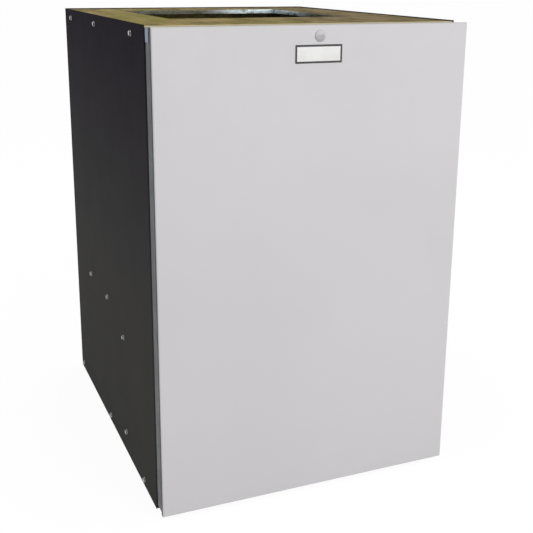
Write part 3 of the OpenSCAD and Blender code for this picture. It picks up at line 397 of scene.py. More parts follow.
class Finish:
    """One material, or the world, built from nodes"""

    def __init__(self, owner, ending="OutputMaterial"):
        owner.use_nodes = True
        self.owner, self.tree, self.ending = owner, owner.node_tree, ending
        self.tree.nodes.clear()

    def node(self, kind, settings=None, sockets=None, output=0):
        """Adds a node: first its settings, then the values or links of its sockets"""
        made = self.tree.nodes.new("ShaderNode" + kind)
        for name, value in (settings or {}).items():
            setattr(made, name, value)
        for key, value in (sockets or {}).items():
            if isinstance(value, Value):
                self.tree.links.new(value.socket, made.inputs[key])
            elif isinstance(value, tuple) and len(value) == 3 and made.inputs[key].type == "RGBA":
                made.inputs[key].default_value = (*value, 1)
            else:
                made.inputs[key].default_value = value
        return Value(self, made.outputs[output])

    @cached_property
    def at(self):
        """The place on the object"""
        return self.node("TexCoord", output="Object")

    def along(self, axis):
        """The place along one axis"""
        return self.node("SeparateXYZ", {}, {"Vector": self.at}, axis)

    def stretched(self, stretch):
        """The place on the object, if wanted stretched along the axes"""
        if not stretch:
            return self.at
        return self.node("Mapping", {}, {"Vector": self.at, "Scale": stretch})

    def noise(self, scale, detail=3.0, rough=0.55, stretch=None):
        """Cloudy noise around 0.5"""
        return self.node("TexNoise", {}, {"Vector": self.stretched(stretch), "Scale": scale,
                                          "Detail": detail, "Roughness": rough}, "Fac")

    def cells(self, scale, output="Distance", feature="F1", stretch=None):
        """Voronoi cells"""
        return self.node("TexVoronoi", {"feature": feature},
                         {"Vector": self.stretched(stretch), "Scale": scale}, output)

    def crystals(self, scale):
        """A value of its own for each crystal of a zinc coat"""
        return self.node("SeparateColor", {}, {"Color": self.cells(scale, "Color")}, "Red")

    def bands(self, direction, scale, distortion=0.0, profile="SIN"):
        """Even bands square to a direction"""
        return self.node("TexWave", {"bands_direction": direction, "wave_profile": profile},
                         {"Vector": self.at, "Scale": scale, "Distortion": distortion}, "Fac")

    def step(self, value, low=0.3, high=0.7, to=(0.0, 1.0)):
        """Maps low..high smoothly onto a range"""
        return self.node("MapRange", {"interpolation_type": "SMOOTHSTEP"}, {
            "Value": value, "From Min": low, "From Max": high, "To Min": to[0], "To Max": to[1]})

    def cloud(self, scale, detail=3, low=0.3, high=0.7, to=(0.0, 1.0), rough=0.55, stretch=None):
        """Noise with its contrast raised: low..high of it become a range"""
        return self.step(self.noise(scale, detail, rough, stretch), low, high, to)

    def mix(self, factor, first, second):
        """Two colours, mixed by a factor"""
        return self.node("Mix", {"data_type": "RGBA"}, {0: factor, 6: first, 7: second}, 2)

    def bump(self, height, depth, strength=0.6):
        """Relief of a real depth in metres"""
        return self.node("Bump", {}, {"Height": height, "Distance": depth, "Strength": strength})

    def grain(self, scale, detail, depth, strength=0.6):
        """Fine relief in the surface itself"""
        return self.bump(self.noise(scale, detail), depth, strength)

    def backdrop(self, camera=1.0):
        """1 on rays that only show the surroundings, with a share for the camera's own, else 0"""
        rays = self.node("LightPath")
        shown = rays.also("Is Glossy Ray") + rays.also("Is Transmission Ray")
        return (rays.also("Is Camera Ray") * camera + shown).maths("MINIMUM", 1.0)

    def end(self, colour, roughness, metallic=0.0, normal=None, **others):
        """The surface itself"""
        sockets = {"Base Color": colour, "Roughness": roughness, "Metallic": metallic}
        sockets.update({name.replace("_", " "): value for name, value in others.items()})
        if normal:
            sockets["Normal"] = normal
        return self.close(self.node("BsdfPrincipled", {}, sockets))

    def close(self, surface):
        """Joins a surface to the output and gives back the material or world"""
        output = self.tree.nodes.new("ShaderNode" + self.ending)
        self.tree.links.new(surface.socket, output.inputs["Surface"])
        return self.owner


# Finishes


FINISHES = {}


def offer(name, build, *values):
    """Registers a finish under a name; its material is built on first use"""
    @cache
    def get():
        return build(Finish(bpy.data.materials.new(name)), *values)

    FINISHES[name] = get


def finish(build):
    """Registers a finish under its function's name"""
    offer(build.__name__, build)
    return build


def shade(colour, factor):
    """A colour made darker or lighter"""
    return tuple(min(1.0, channel * factor) for channel in colour)


def chosen(name):
    """A colour from the panel"""
    return tuple(getattr(bpy.context.scene.furnace_colours, name))


@finish
def pale_paint(f):
    colour = chosen("door")
    tone = f.mix(f.cloud(3.5, 2, 0.35, 0.65), shade(colour, 0.985), shade(colour, 1.01))
    smudge = f.cloud(14, 4, 0.58, 0.8, rough=0.6, stretch=(1, 1, 0.4))
    tone = f.mix(smudge * 0.25, tone, shade(colour, 0.93))
    return f.end(tone, f.cloud(40, to=(0.42, 0.52)), normal=f.grain(700, 2, 0.00003, 0.5))


@finish
def dark_paint(f):
    low, high = chosen("side_low"), chosen("side_high")
    # Painted reflection: the paint turns darker and bluer towards the top, with a little noise
    painted_reflection_by_height = f.noise(2.2, 3, 0.5) * 0.12 + f.along("Z") * 0.95
    tone = f.mix(f.step(painted_reflection_by_height, 0.3, 0.9), low, high)
    speck = f.cloud(420, 2, 0.5, 0.75, rough=0.7)
    tone = f.mix(speck * 0.2, tone, shade(low, 1.35))
    return f.end(tone, f.cloud(18, 4, to=(0.52, 0.58)), normal=f.grain(900, 2, 0.00004),
                 Specular_IOR_Level=0.002)


@finish
def gold_zinc_steel(f):
    """Gold zinc: greenish in patches, with a painted shade of brown towards +X and a painted cream
    highlight along the front fold
    """
    colour, brown = chosen("top"), srgb(112, 96, 74)
    patch = f.noise(30, 5, 0.66, (1, 0.32, 1))
    fine = f.noise(130, 4, 0.7, (1, 0.32, 1))
    blotch = f.step(patch, 0.37, 0.63)
    tone = f.mix(blotch, shade(colour, 0.64), shade(colour, 1.3))
    green = tuple(a * b for a, b in zip(colour, (0.78, 1.02, 0.5)))
    tone = f.mix(f.cloud(14, 4, 0.45, 0.6, rough=0.6, stretch=(1, 0.35, 1)) * 0.6, tone, green)
    painted_shade_brown = f.mix(blotch, shade(brown, 0.7), shade(brown, 1.35))
    # Painted shade: browner and darker towards +X
    tone = f.mix(f.step(f.along("X"), -0.12, 0.16) * 0.7, tone, painted_shade_brown)
    tone = f.mix(f.step(fine, 0.45, 0.7) * 0.4, tone, srgb(172, 162, 126))
    # Painted highlight: a cream line along the front fold
    lip = f.step(f.along("Y"), FRONT + 1.2 * MM, FRONT + 4.5 * MM, (0.95, 0.0))
    tone = f.mix(lip, tone, srgb(214, 202, 166))
    rough = f.step(patch, to=(0.6, 0.48)) + f.step(fine, 0.4, 0.7) * 0.08
    relief = f.bump(fine + f.noise(60) * 0.6, 0.00012, 0.7)
    return f.end(tone, rough, 0.05, relief, Specular_IOR_Level=0.002)


@finish
def blue_zinc(f):
    """Rolled zinc of the turned-down edges: a painted reflection, bright and cold, towards one corner, and
    darker elsewhere
    """
    ripple = f.noise(40, 3, 0.55, (1, 1, 2.5))
    back = RETURN[1].y
    # Painted reflection: bright towards +X and the back of the opening
    bright = f.step(f.along("X"), 0.0, 0.12) * f.step(f.along("Y"), back - 0.2, back - 0.07)
    tone = f.mix(f.crystals(150) * 0.4, srgb(76, 75, 66), srgb(106, 103, 92))
    tone = f.mix(bright * f.step(ripple, 0.25, 0.55), tone, srgb(204, 217, 220))
    tone = f.mix(f.step(ripple, 0.5, 0.75) * 0.35, tone, srgb(70, 80, 84))
    return f.end(tone, f.step(ripple, 0.35, 0.7, (0.24, 0.4)), 0.9, f.bump(ripple, 0.0003, 0.7))


def zinc(f, colour, low=0.26, high=0.42, cell=95):
    """Hot-dip zinc: crystals of several tones and glosses"""
    crystal = f.crystals(cell)
    feather = f.noise(380, 3, 0.6, (1, 0.35, 1))
    tone = f.mix(crystal, shade(colour, 0.72), shade(colour, 1.16))
    tone = f.mix(f.step(feather, 0.45, 0.7) * 0.22, tone, shade(colour, 0.6))
    grime_and_painted_shade = f.cloud(9, 4, 0.5, 0.78, rough=0.6)
    tone = f.mix(grime_and_painted_shade * 0.3, tone, shade(colour, 0.55))
    rough = f.step(crystal, 0, 1, (low, high)) + grime_and_painted_shade * 0.12
    return f.end(tone, rough, 0.92, f.bump(feather, 0.00003, 0.5))


def drawn(f, dark, light, gloss, depth, strength, *pattern):
    """Turned or drawn bare metal, with the marks of its making along one way"""
    mark = f.noise(*pattern)
    tone = f.mix(f.step(mark), dark, light)
    return f.end(tone, f.step(mark, to=gloss), 1.0, f.bump(mark, depth, strength))


def moulded(f, colour, rough=0.45, relief=0.00005):
    """Moulded plastic with a fine erosion texture and a little dust"""
    dust = f.cloud(60, 4, 0.5, 0.8, rough=0.6)
    tone = f.mix(f.cloud(9, 2), shade(colour, 0.88), shade(colour, 1.1))
    tone = f.mix(dust * 0.2, tone, shade(colour, 1.6))
    return f.end(tone, dust * 0.15 + rough, 0.0, f.grain(1400, 2, relief))


def jacket(f, colour):
    """Extruded wire insulation"""
    tone = f.mix(f.cloud(50), shade(colour, 0.85), shade(colour, 1.12))
    return f.end(tone, f.cloud(90, to=(0.3, 0.45)), 0.0, f.grain(600, 2, 0.00003, 0.5))


for family in (
        ("galvanised_steel", zinc, srgb(176, 181, 186)),
        # Pale zinc of the frame's corner tabs, also used as a painted highlight on its back bend
        ("corner_zinc", zinc, srgb(122, 131, 148), 0.36, 0.5),
        # A shaded copy of the galvanised finish: zinc darkened to the shade that the door's sides show
        ("dull_steel", zinc, srgb(84, 86, 88), 0.45, 0.58, 70),
        ("bright_steel", drawn, srgb(168, 170, 172), srgb(196, 198, 200), (0.2, 0.34), 0.00002, 0.4,
         60, 3, 0.6, (30, 1, 1)),
        ("capacitor_can", drawn, srgb(184, 187, 190), srgb(214, 216, 218), (0.26, 0.4), 0.00003, 0.5,
         70, 3, 0.6, (6, 6, 0.3)),
        ("black_plastic", moulded, srgb(34, 34, 36)),
        ("pale_plastic", moulded, srgb(198, 196, 196), 0.36, 0.00002),
        ("toggle_plastic", moulded, srgb(216, 214, 205), 0.34, 0.00002),
        ("black_jacket", jacket, srgb(28, 28, 30)),
        ("red_jacket", jacket, srgb(168, 36, 30)),
        ("blue_jacket", jacket, srgb(38, 74, 150)),
        ("yellow_jacket", jacket, srgb(214, 178, 44)),
        ("white_jacket", jacket, srgb(214, 212, 206))):
    offer(*family)


@finish
def fastener_plastic(f):
    """Pale plastic with a painted shade, darker towards its lower rim"""
    # Painted shade: darker below the middle of the fastener
    grime_and_painted_shade = f.step(f.along("Z"), FASTENER.z - 7 * MM, FASTENER.z + 7 * MM, (1.0, 0.0))
    speck = f.cloud(400, 3, 0.35)
    tone = f.mix(grime_and_painted_shade * (speck * 0.2 + 0.8), srgb(200, 198, 200), srgb(160, 159, 162))
    return f.end(tone, grime_and_painted_shade * 0.1 + 0.4, 0.0, f.grain(1400, 2, 0.00002))


@finish
def foil_face(f):
    crumple = f.noise(55, 5, 0.6)
    crease = f.step(f.cells(46.0, feature="DISTANCE_TO_EDGE", stretch=(1, 1.3, 1)), 0.0, 0.12)
    scrim = f.step(f.bands("DIAGONAL", 22.0, 0.3), 0.92, 1.0)
    tone = f.mix(f.cloud(12), srgb(196, 204, 210), srgb(226, 230, 232))
    relief = f.bump(crumple + crease * 0.5 + scrim * 0.12, 0.0016, 0.9)
    return f.end(tone, f.step(crumple, to=(0.2, 0.36)), 0.95, relief)


@finish
def foam(f):
    pores = f.cells(900)
    tone = f.mix(f.step(pores, 0.0, 0.5), srgb(16, 16, 18), srgb(44, 44, 46))
    return f.end(tone, 0.9, 0.0, f.bump(pores, 0.0004, 0.8))


@finish
def plate_face(f):
    tone = f.mix(f.cloud(30, 3, 0.35), srgb(222, 221, 220), srgb(232, 232, 231))
    return f.end(tone, 0.35, 0.0, f.grain(500, 2, 0.00001, 0.4))


@finish
def plate_border(f):
    return f.end(f.mix(f.cloud(120, 3, 0.35), srgb(16, 15, 16), srgb(30, 28, 29)), 0.38)


@finish
def zinc_screws(f):
    wear = f.cloud(500, 4, 0.4, rough=0.6)
    tone = f.mix(wear, srgb(172, 173, 171), srgb(118, 116, 109))
    return f.end(tone, f.step(wear, 0, 1, (0.2, 0.38)), 0.95, f.grain(900, 3, 0.00004, 0.5))


@finish
def brass(f):
    dull = f.cloud(200, 4, 0.35)
    tone = f.mix(dull, srgb(206, 174, 98), srgb(158, 130, 74))
    return f.end(tone, f.step(dull, 0, 1, (0.22, 0.4)), 1.0, f.grain(700, 2, 0.00003, 0.5))


@finish
def black_paint(f):
    tone = f.mix(f.cloud(20, 4), srgb(22, 22, 24), srgb(38, 38, 40))
    return f.end(tone, f.cloud(50, to=(0.28, 0.42)), 0.0, f.grain(500, 2, 0.00005))


@finish
def white_ceramic(f):
    spot = f.cloud(300, 4, 0.62, 0.8, rough=0.6)
    tone = f.mix(f.cloud(25), srgb(224, 217, 200), srgb(240, 236, 226))
    tone = f.mix(spot * 0.4, tone, srgb(176, 160, 136))
    return f.end(tone, 0.62, 0.0, f.grain(900, 3, 0.00006))


@finish
def winding_tape(f):
    wrap = f.bands("Z", 34.0, 0.25, "SAW")
    tone = f.mix(f.step(wrap, 0.0, 0.9), srgb(196, 158, 70), srgb(226, 196, 112))
    return f.end(tone, 0.4, 0.0, f.bump(wrap, 0.0002))


@finish
def laminations(f):
    plates = f.bands("Y", 520.0)
    tone = f.mix(f.step(plates, 0.2, 0.8), srgb(48, 50, 54), srgb(92, 94, 98))
    rust = f.cloud(80, 4, 0.5, 0.75, rough=0.6)
    tone = f.mix(rust * 0.4, tone, srgb(96, 74, 56))
    return f.end(tone, 0.48, 0.6, f.bump(plates, 0.0001, 0.5))


@finish
def resistance_wire(f):
    heat = f.noise(28, 4, 0.6)
    tone = f.mix(f.step(heat, 0.35, 0.65), srgb(104, 100, 98), srgb(134, 122, 110))
    tone = f.mix(f.cloud(70, 3, 0.5, 0.75) * 0.5, tone, srgb(92, 96, 112))
    return f.end(tone, f.step(heat, to=(0.3, 0.48)), 0.9, f.grain(1200, 2, 0.00004, 0.5))


@finish
def studio_floor(f):
    """Pale floor: plain to the camera, with the soft shadow of what stands on it"""
    cloth = f.node("BsdfDiffuse", {}, {"Color": srgb(240, 240, 240)})
    white = f.node("Emission", {}, {"Color": (1.0, 1.0, 1.0), "Strength": 1.06})
    return f.close(f.node("MixShader", {}, {0: f.backdrop(0.88), 1: cloth, 2: white}))


# Sizes and colours that a user may change


def length(name, text, default, low, high):
    """A property for a length in metres"""
    return FloatProperty(name=name, description=text, default=default, min=low, max=high,
                         unit="LENGTH", subtype="DISTANCE", precision=4)


def angle(name, text, degrees):
    """A property for an angle, with its default given in degrees"""
    return FloatProperty(name=name, description=text, default=radians(degrees),
                         subtype="ANGLE", unit="ROTATION")


def tint(name, text, red, green, blue):
    """A property for a colour, with its default given in 0 to 255"""
    return FloatVectorProperty(name=name, description=text, default=srgb(red, green, blue),
                               subtype="COLOR", min=0, max=1)


class FurnaceSizes(bpy.types.PropertyGroup):
    """Sizes of folds, edges and small forms"""
    fold: length("Fold radius", "Outer radius of a fold in the sheet metal", 0.0022, 0.0012, 0.004)
    edge: length("Edge radius", "Radius of the small broken edges of inner pieces", 0.0003, 0.0001, 0.001)
    crumple: length("Foil crumple", "Depth of the foil's creases", 0.0022, 0.0005, 0.004)
    wire: length("Heating wire radius", "Radius of the resistance wire", 0.0006, 0.0004, 0.0009)
    pitch: length("Heating coil pitch", "Advance of the coils with each turn", 0.0034, 0.0024, 0.006)
    plate_width: length("Plate width", "Width of the blank plate on the door", 0.076, 0.04, 0.12)
    plate_height: length("Plate height", "Height of the blank plate on the door", 0.027, 0.02, 0.05)
    vents: IntProperty(name="Motor vents", description="Number of vents in each end of the motor",
                       default=8, min=4, max=12)


class FurnaceColours(bpy.types.PropertyGroup):
    """Colours of the outer finishes"""
    door: tint("Door", "Paint of the door", 208, 206, 208)
    # The upper colour of the sides is a painted reflection, blended in by height in dark_paint
    side_low: tint("Sides, low", "Paint of the side panels, lower part", 71, 70, 69)
    side_high: tint("Sides, high", "Paint of the side panels, upper part", 39, 35, 45)
    top: tint("Top", "Gold zinc of the top and base panels", 148, 130, 80)


class FurnaceStudio(bpy.types.PropertyGroup):
    """Camera and light"""
    camera_place: FloatVectorProperty(name="Camera place", description="Where the camera stands",
                                      default=(-0.581, -1.5195, 0.834), subtype="TRANSLATION",
                                      unit="LENGTH")
    heading: angle("Heading", "Turn of the camera to the right of +Y", 22.52)
    tilt: angle("Tilt", "How far the camera looks down", 15.02)
    roll: angle("Roll", "Roll of the camera", 0.43)
    lens: FloatProperty(name="Lens", description="Focal length on a 36 mm sensor, in mm", default=60.7,
                        min=20)
    rise: FloatProperty(name="Vertical shift", description="Vertical shift of the lens", default=-0.10)
    key: FloatProperty(name="Key light", description="Power of the large soft light", default=43.5,
                       min=0, unit="POWER")
    fill: FloatProperty(name="Fill", description="Strength of the light from all around", default=0.53,
                        min=0)


# Places of the pieces


def at(x, y, z):
    """A point given in millimetres, with y counted backwards from the plane of the door opening"""
    return Vector((x * MM, FRONT + y * MM, z * MM))


def in_front_of(y):
    """Test for faces in front of a depth in millimetres"""
    return lambda c, n: c.y < FRONT + y * MM


def behind(y):
    """Test for faces behind a depth in millimetres"""
    return lambda c, n: c.y > FRONT + y * MM


# Depth of the upright partition behind the door opening, in millimetres
PARTITION = 184
# Heights of folds, corners of the air openings, widths of edges and places of two joints, in metres
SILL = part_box("base_fittings")[1].z
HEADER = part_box("top_panel")[0].z
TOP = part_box("top_panel")[1].z
ROOF = TOP - SHEET
RETURN = (at(-162, PARTITION + 1, 0), at(162, PARTITION + 341, 0))
SUPPLY = (at(-178, PARTITION + 21, 0), at(178, PARTITION + 377, 0))
COLLAR = 15 * MM
RETURN_EDGE = 8 * MM
LIP = 20 * MM
LINER = 12 * MM
# Depth of the painted shade on the front faces of the top and base, behind the door
GAP_SHADE_DEPTH = 2.5 * MM
JOINTS = {joint["name"]: joint for joint in frame["joints"]}
WHEEL = Vector(JOINTS["blower_spin"]["pos_m"])
FASTENER = Vector(JOINTS["fastener_turn"]["pos_m"])

# Heaters with their coils and pins, controls, breakers, holes and screws: in millimetres as in the CAD
# part, with y from the plane of the door opening
HEATERS = (-150, 0, 150)
HEATER_Z = 130
COIL_X, COIL_Z, COIL_R = 24, 40, 5
COIL_FRONT, COIL_BACK = 198, 483
PIN_HEIGHTS = (HEATER_Z - 1.5 * COIL_Z, HEATER_Z + 1.5 * COIL_Z)
SEQUENCERS = (-195, -125, -55)
STRIP_Z, SPADE_Z = 405, 300
TERMINALS = (-132.5, -115.5, -98.5, -81.5, -64.5, -47.5)
BREAKERS = (142, 198)
BUSHINGS = ((110, 90, 17), (180, 90, 17), (-200, 90, 9))
DUCT_HOLES = [(x, y, 2.5) for y in (265, 501) for x in (-213, 213)]
SIDE_SCREWS = [(75, 746), (328, 746), (538, 746), (72, 12), (317, 12), (576, 12), (309, 255),
               (450, 255), (191.5, 40), (191.5, 221)]
BACK_SCREWS = [(side * 243, z) for z in (60, 220, 380, 540, 700) for side in (-1, 1)]
BACK_SCREWS += [(x, 255) for x in (-120, 0, 120)]


# The studio and the pieces


class FURNACE_OT_stage(bpy.types.Operator):
    """Sets up the floor, the soft studio light and the camera"""
    bl_idname = "furnace.stage"
    bl_label = "Studio"

    def execute(self, context):
        scene = context.scene
        studio = scene.furnace_studio
        scene.view_settings.view_transform = "Standard"

        bpy.ops.mesh.primitive_plane_add(size=60, location=(0, 0, 0))
        floor = settle(context.object, "floor")
        floor.data.materials.append(FINISHES["studio_floor"]())

        scene.world = bpy.data.worlds.new("studio")
        air = Finish(scene.world, "OutputWorld")
        strength = air.backdrop() * (1.0 - studio.fill) + studio.fill
        air.close(air.node("Background", {}, {"Color": (1.0, 1.0, 1.0), "Strength": strength}))

        aim = Vector((0, 0, 0.42))
        for name, place, size, power in (("key", (0.9, -3.2, 1.35), 2.4, studio.key),
                                         ("top_soft", (-0.4, 0.8, 3.2), 2.6, studio.key * 0.3)):
            bpy.ops.object.light_add(type="AREA", location=place)
            lamp = context.object
            lamp.name = name
            lamp.data.shape = "SQUARE"
            lamp.data.size = size
            lamp.data.energy = power
            lamp.rotation_euler = (aim - lamp.location).to_track_quat("-Z", "Y").to_euler()

        bpy.ops.object.camera_add(location=studio.camera_place)
        camera = context.object
        camera.name = "camera"
        level = Vector((sin(studio.heading), cos(studio.heading), 0))
        ahead = level * cos(studio.tilt) - Z * sin(studio.tilt)
        right = Vector((cos(studio.heading), -sin(studio.heading), 0))
        rolled = right * cos(studio.roll) + right.cross(ahead) * sin(studio.roll)
        camera.rotation_euler = Matrix((rolled, rolled.cross(ahead), -ahead)).transposed().to_euler()
        camera.data.sensor_width = 36
        camera.data.lens = studio.lens
        camera.data.shift_y = studio.rise
        camera.data.clip_end = 100
        scene.camera = camera
        return {"FINISHED"}


class FURNACE_OT_side_panels(bpy.types.Operator):
    """Folds the two side panels, each with a front and a back flange"""
    bl_idname = "furnace.side_panels"
    bl_label = "Side panels"

    def execute(self, context):
        panel = box("side_panel", SIDE_LOW, SIDE_HIGH)
        delete_faces(panel, lambda f: f.normal.x < -SQUARE or abs(f.normal.z) > SQUARE)
        cut_at(panel, Z, SHEET, SILL, HEADER, ROOF)
        delete_faces(panel, lambda f: (f.normal.y < -SQUARE and not SILL < middle(f).z < HEADER)
                     or (f.normal.y > SQUARE and not SHEET < middle(f).z < ROOF))
        bevel_edges(panel, folds, context.scene.furnace_sizes.fold, 4)
        thicken(panel)
        keep_within(panel, SIDE_LOW, SIDE_HIGH)
        left = copied(panel, Matrix.Scale(-1, 4, X))
        deliver(left, "dark_paint", "side_panel_left").name = "left_side"
        deliver(panel, "dark_paint", "side_panel_right").name = "right_side"
        return {"FINISHED"}


class FURNACE_OT_back_panel(bpy.types.Operator):
    """Makes the back panel, stiffened by a shallow cross break"""
    bl_idname = "furnace.back_panel"
    bl_label = "Back panel"

    def execute(self, context):
        panel = box("back", *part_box("back_panel"))
        delete_faces(panel, lambda f: f.normal.y < SQUARE)
        inset(panel, Y, (30 * MM, 0))
        with picked(panel, "FACE", lambda f: f.calc_area() > LARGE):
            bpy.ops.mesh.poke(offset=1.2 * MM)
        thicken(panel)
        break_edges(panel, 0.3 * MM)
        deliver(panel, "dark_paint", "back_panel", smooth=0.05)
        return {"FINISHED"}


def open_tray(name, low, high, hole, edge_z, floor_up):
    """A sheet with turned edges all round and a hole: floor_up is +1 for a lid and -1 for a tray"""
    tray = box(name, low, high)
    delete_faces(tray, lambda f: f.normal.z * floor_up < -SQUARE)
    cut_at(tray, Z, edge_z)
    delete_faces(tray, lambda f: abs(f.normal.z) < 1 - SQUARE and f.normal.y > -SQUARE
                 and (edge_z - middle(f).z) * floor_up > 0)
    cut_at(tray, X, hole[0].x, hole[1].x)
    cut_at(tray, Y, hole[0].y, hole[1].y)
    delete_faces(tray, lambda f: abs(f.normal.z) > SQUARE and hole[0].x < middle(f).x < hole[1].x
                 and hole[0].y < middle(f).y < hole[1].y)
    return tray


class FURNACE_OT_top_panel(bpy.types.Operator):
    """Folds the top panel and turns the edges of the return air opening down"""
    bl_idname = "furnace.top_panel"
    bl_label = "Top panel"

    def execute(self, context):
        low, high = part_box("top_panel")
        top = open_tray("top", low, high, RETURN, ROOF - LIP, 1)
        pull_edges(top, lambda e: len(e.link_faces) == 1 and middle(e).z > TOP - NEAR,
                   -Z * (RETURN_EDGE + SHEET))
        pull_edges(top, lambda e: len(e.link_faces) == 1 and runs(e, X)
                   and abs(middle(e).y - RETURN[0].y) < NEAR, -Z * (COLLAR - RETURN_EDGE))
        bevel_edges(top, folds, context.scene.furnace_sizes.fold, 4)
        thicken(top)
        deliver(top, "gold_zinc_steel", "top_panel")
        # Painted shade: the top's front faces below its lip, in the gap behind the door, take the dark side
        # paint
        paint(top, "dark_paint", lambda c, n: c.y < FRONT + GAP_SHADE_DEPTH and c.z < TOP - 2.4 * MM)
        margin = Vector((3 * MM, 3 * MM, 0))
        low, high = RETURN[0] - margin, RETURN[1] + margin
        paint(top, "blue_zinc", lambda c, n: abs(n.z) < 0.7 and c.z < TOP - 1.2 * MM
              and low.x < c.x < high.x and low.y < c.y < high.y)
        return {"FINISHED"}


class FURNACE_OT_base_panel(bpy.types.Operator):
    """Folds the base panel with its sill, and makes the supply ring, the door's tabs and the bushings"""
    bl_idname = "furnace.base_panel"
    bl_label = "Base panel"

    def execute(self, context):
        low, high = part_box("base_panel")
        high.z = SILL
        base = open_tray("base", low, high, SUPPLY, SHEET + LIP, -1)
        bevel_edges(base, folds, context.scene.furnace_sizes.fold * 0.8, 3)
        thicken(base)
        for x, y, radius in (*BUSHINGS, *DUCT_HOLES):
            cut_out(base, rod("drill", radius * MM, at(x, y, -5), at(x, y, 9), 40))
        deliver(base, "gold_zinc_steel", "base_panel", "base_fittings")
        # Painted shade: the sill's front faces, in the gap behind the door, take the dark side paint
        paint(base, "dark_paint", in_front_of(GAP_SHADE_DEPTH / MM))

        wall, ring_top = Vector((SHEET, SHEET, 0)), 13 * MM
        ring = box("ring", SUPPLY[0] - wall + Z * SHEET, SUPPLY[1] + wall + Z * ring_top)
        delete_faces(ring, lambda f: abs(f.normal.z) > SQUARE)
        bevel_edges(ring, folds, 1.5 * MM, 3)
        pieces = [thicken(ring)]
        tab_half, tab_length, tab_low, tab_high = 20, 30, 5.7, 6.7
        for x in (-170, 170):
            tab = box("tab", at(x - tab_half, -tab_length, tab_low), at(x + tab_half, 0, tab_high))
            bevel_edges(tab, lambda e: runs(e, Z) and middle(e).y < FRONT - 20 * MM, 5 * MM, 5)
            pieces.append(break_edges(tab, 0.2 * MM))
        deliver(joined("ring_and_tabs", pieces), "gold_zinc_steel", "base_fittings")
        carry("bushings", "cable_bushings", "black_plastic", 0.6 * MM, 3)
        return {"FINISHED"}


class FURNACE_OT_inner_sheets(bpy.types.Operator):
    """Finishes the partition, the blower access panel and the blower deck"""
    bl_idname = "furnace.inner_sheets"
    bl_label = "Inner sheets"

    def execute(self, context):
        for name, node in (("upright_plate", "partition"), ("access_panel", "blower_access_panel"),
                           ("deck", "blower_deck")):
            carry(name, node, "galvanised_steel", context.scene.furnace_sizes.edge)
        return {"FINISHED"}


def board(name, low, high, crumple):
    """A board of insulation with a crumpled foil face"""
    longest_edge, halvings = 17.6 * MM, 7
    obj = box(name, low, high)
    bevel_edges(obj, folds, 1.6 * MM, 2)
    for _ in range(halvings):
        with picked(obj, "EDGE", lambda e: e.calc_length() > longest_edge):
            bpy.ops.mesh.subdivide(number_cuts=1)
    creases = bpy.data.textures.new(name, "VORONOI")
    creases.noise_scale = 0.035
    creases.distance_metric = "DISTANCE"
    return modify(obj, "DISPLACE", texture=creases, texture_coords="LOCAL", strength=crumple,
                  mid_level=1.0)


class FURNACE_OT_liners(bpy.types.Operator):
    """Makes the three foil faced boards of insulation around the blower"""
    bl_idname = "furnace.liners"
    bl_label = "Insulation"

    def execute(self, context):
        crumple = context.scene.furnace_sizes.crumple
        low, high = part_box("liners")
        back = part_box("back_panel")[0].y
        side_end = at(0, 584, 0).y
        corner = 21 * MM
        boards = [board("board", (x, low.y, low.z), (x + LINER, side_end, high.z), crumple)
                  for x in (low.x, high.x - LINER)]
        boards.append(board("board", (low.x + corner, back - LINER, low.z),
                            (high.x - corner, back, high.z), crumple))
        deliver(joined("insulation", boards), "foil_face", "liners", smooth=50)
        return {"FINISHED"}


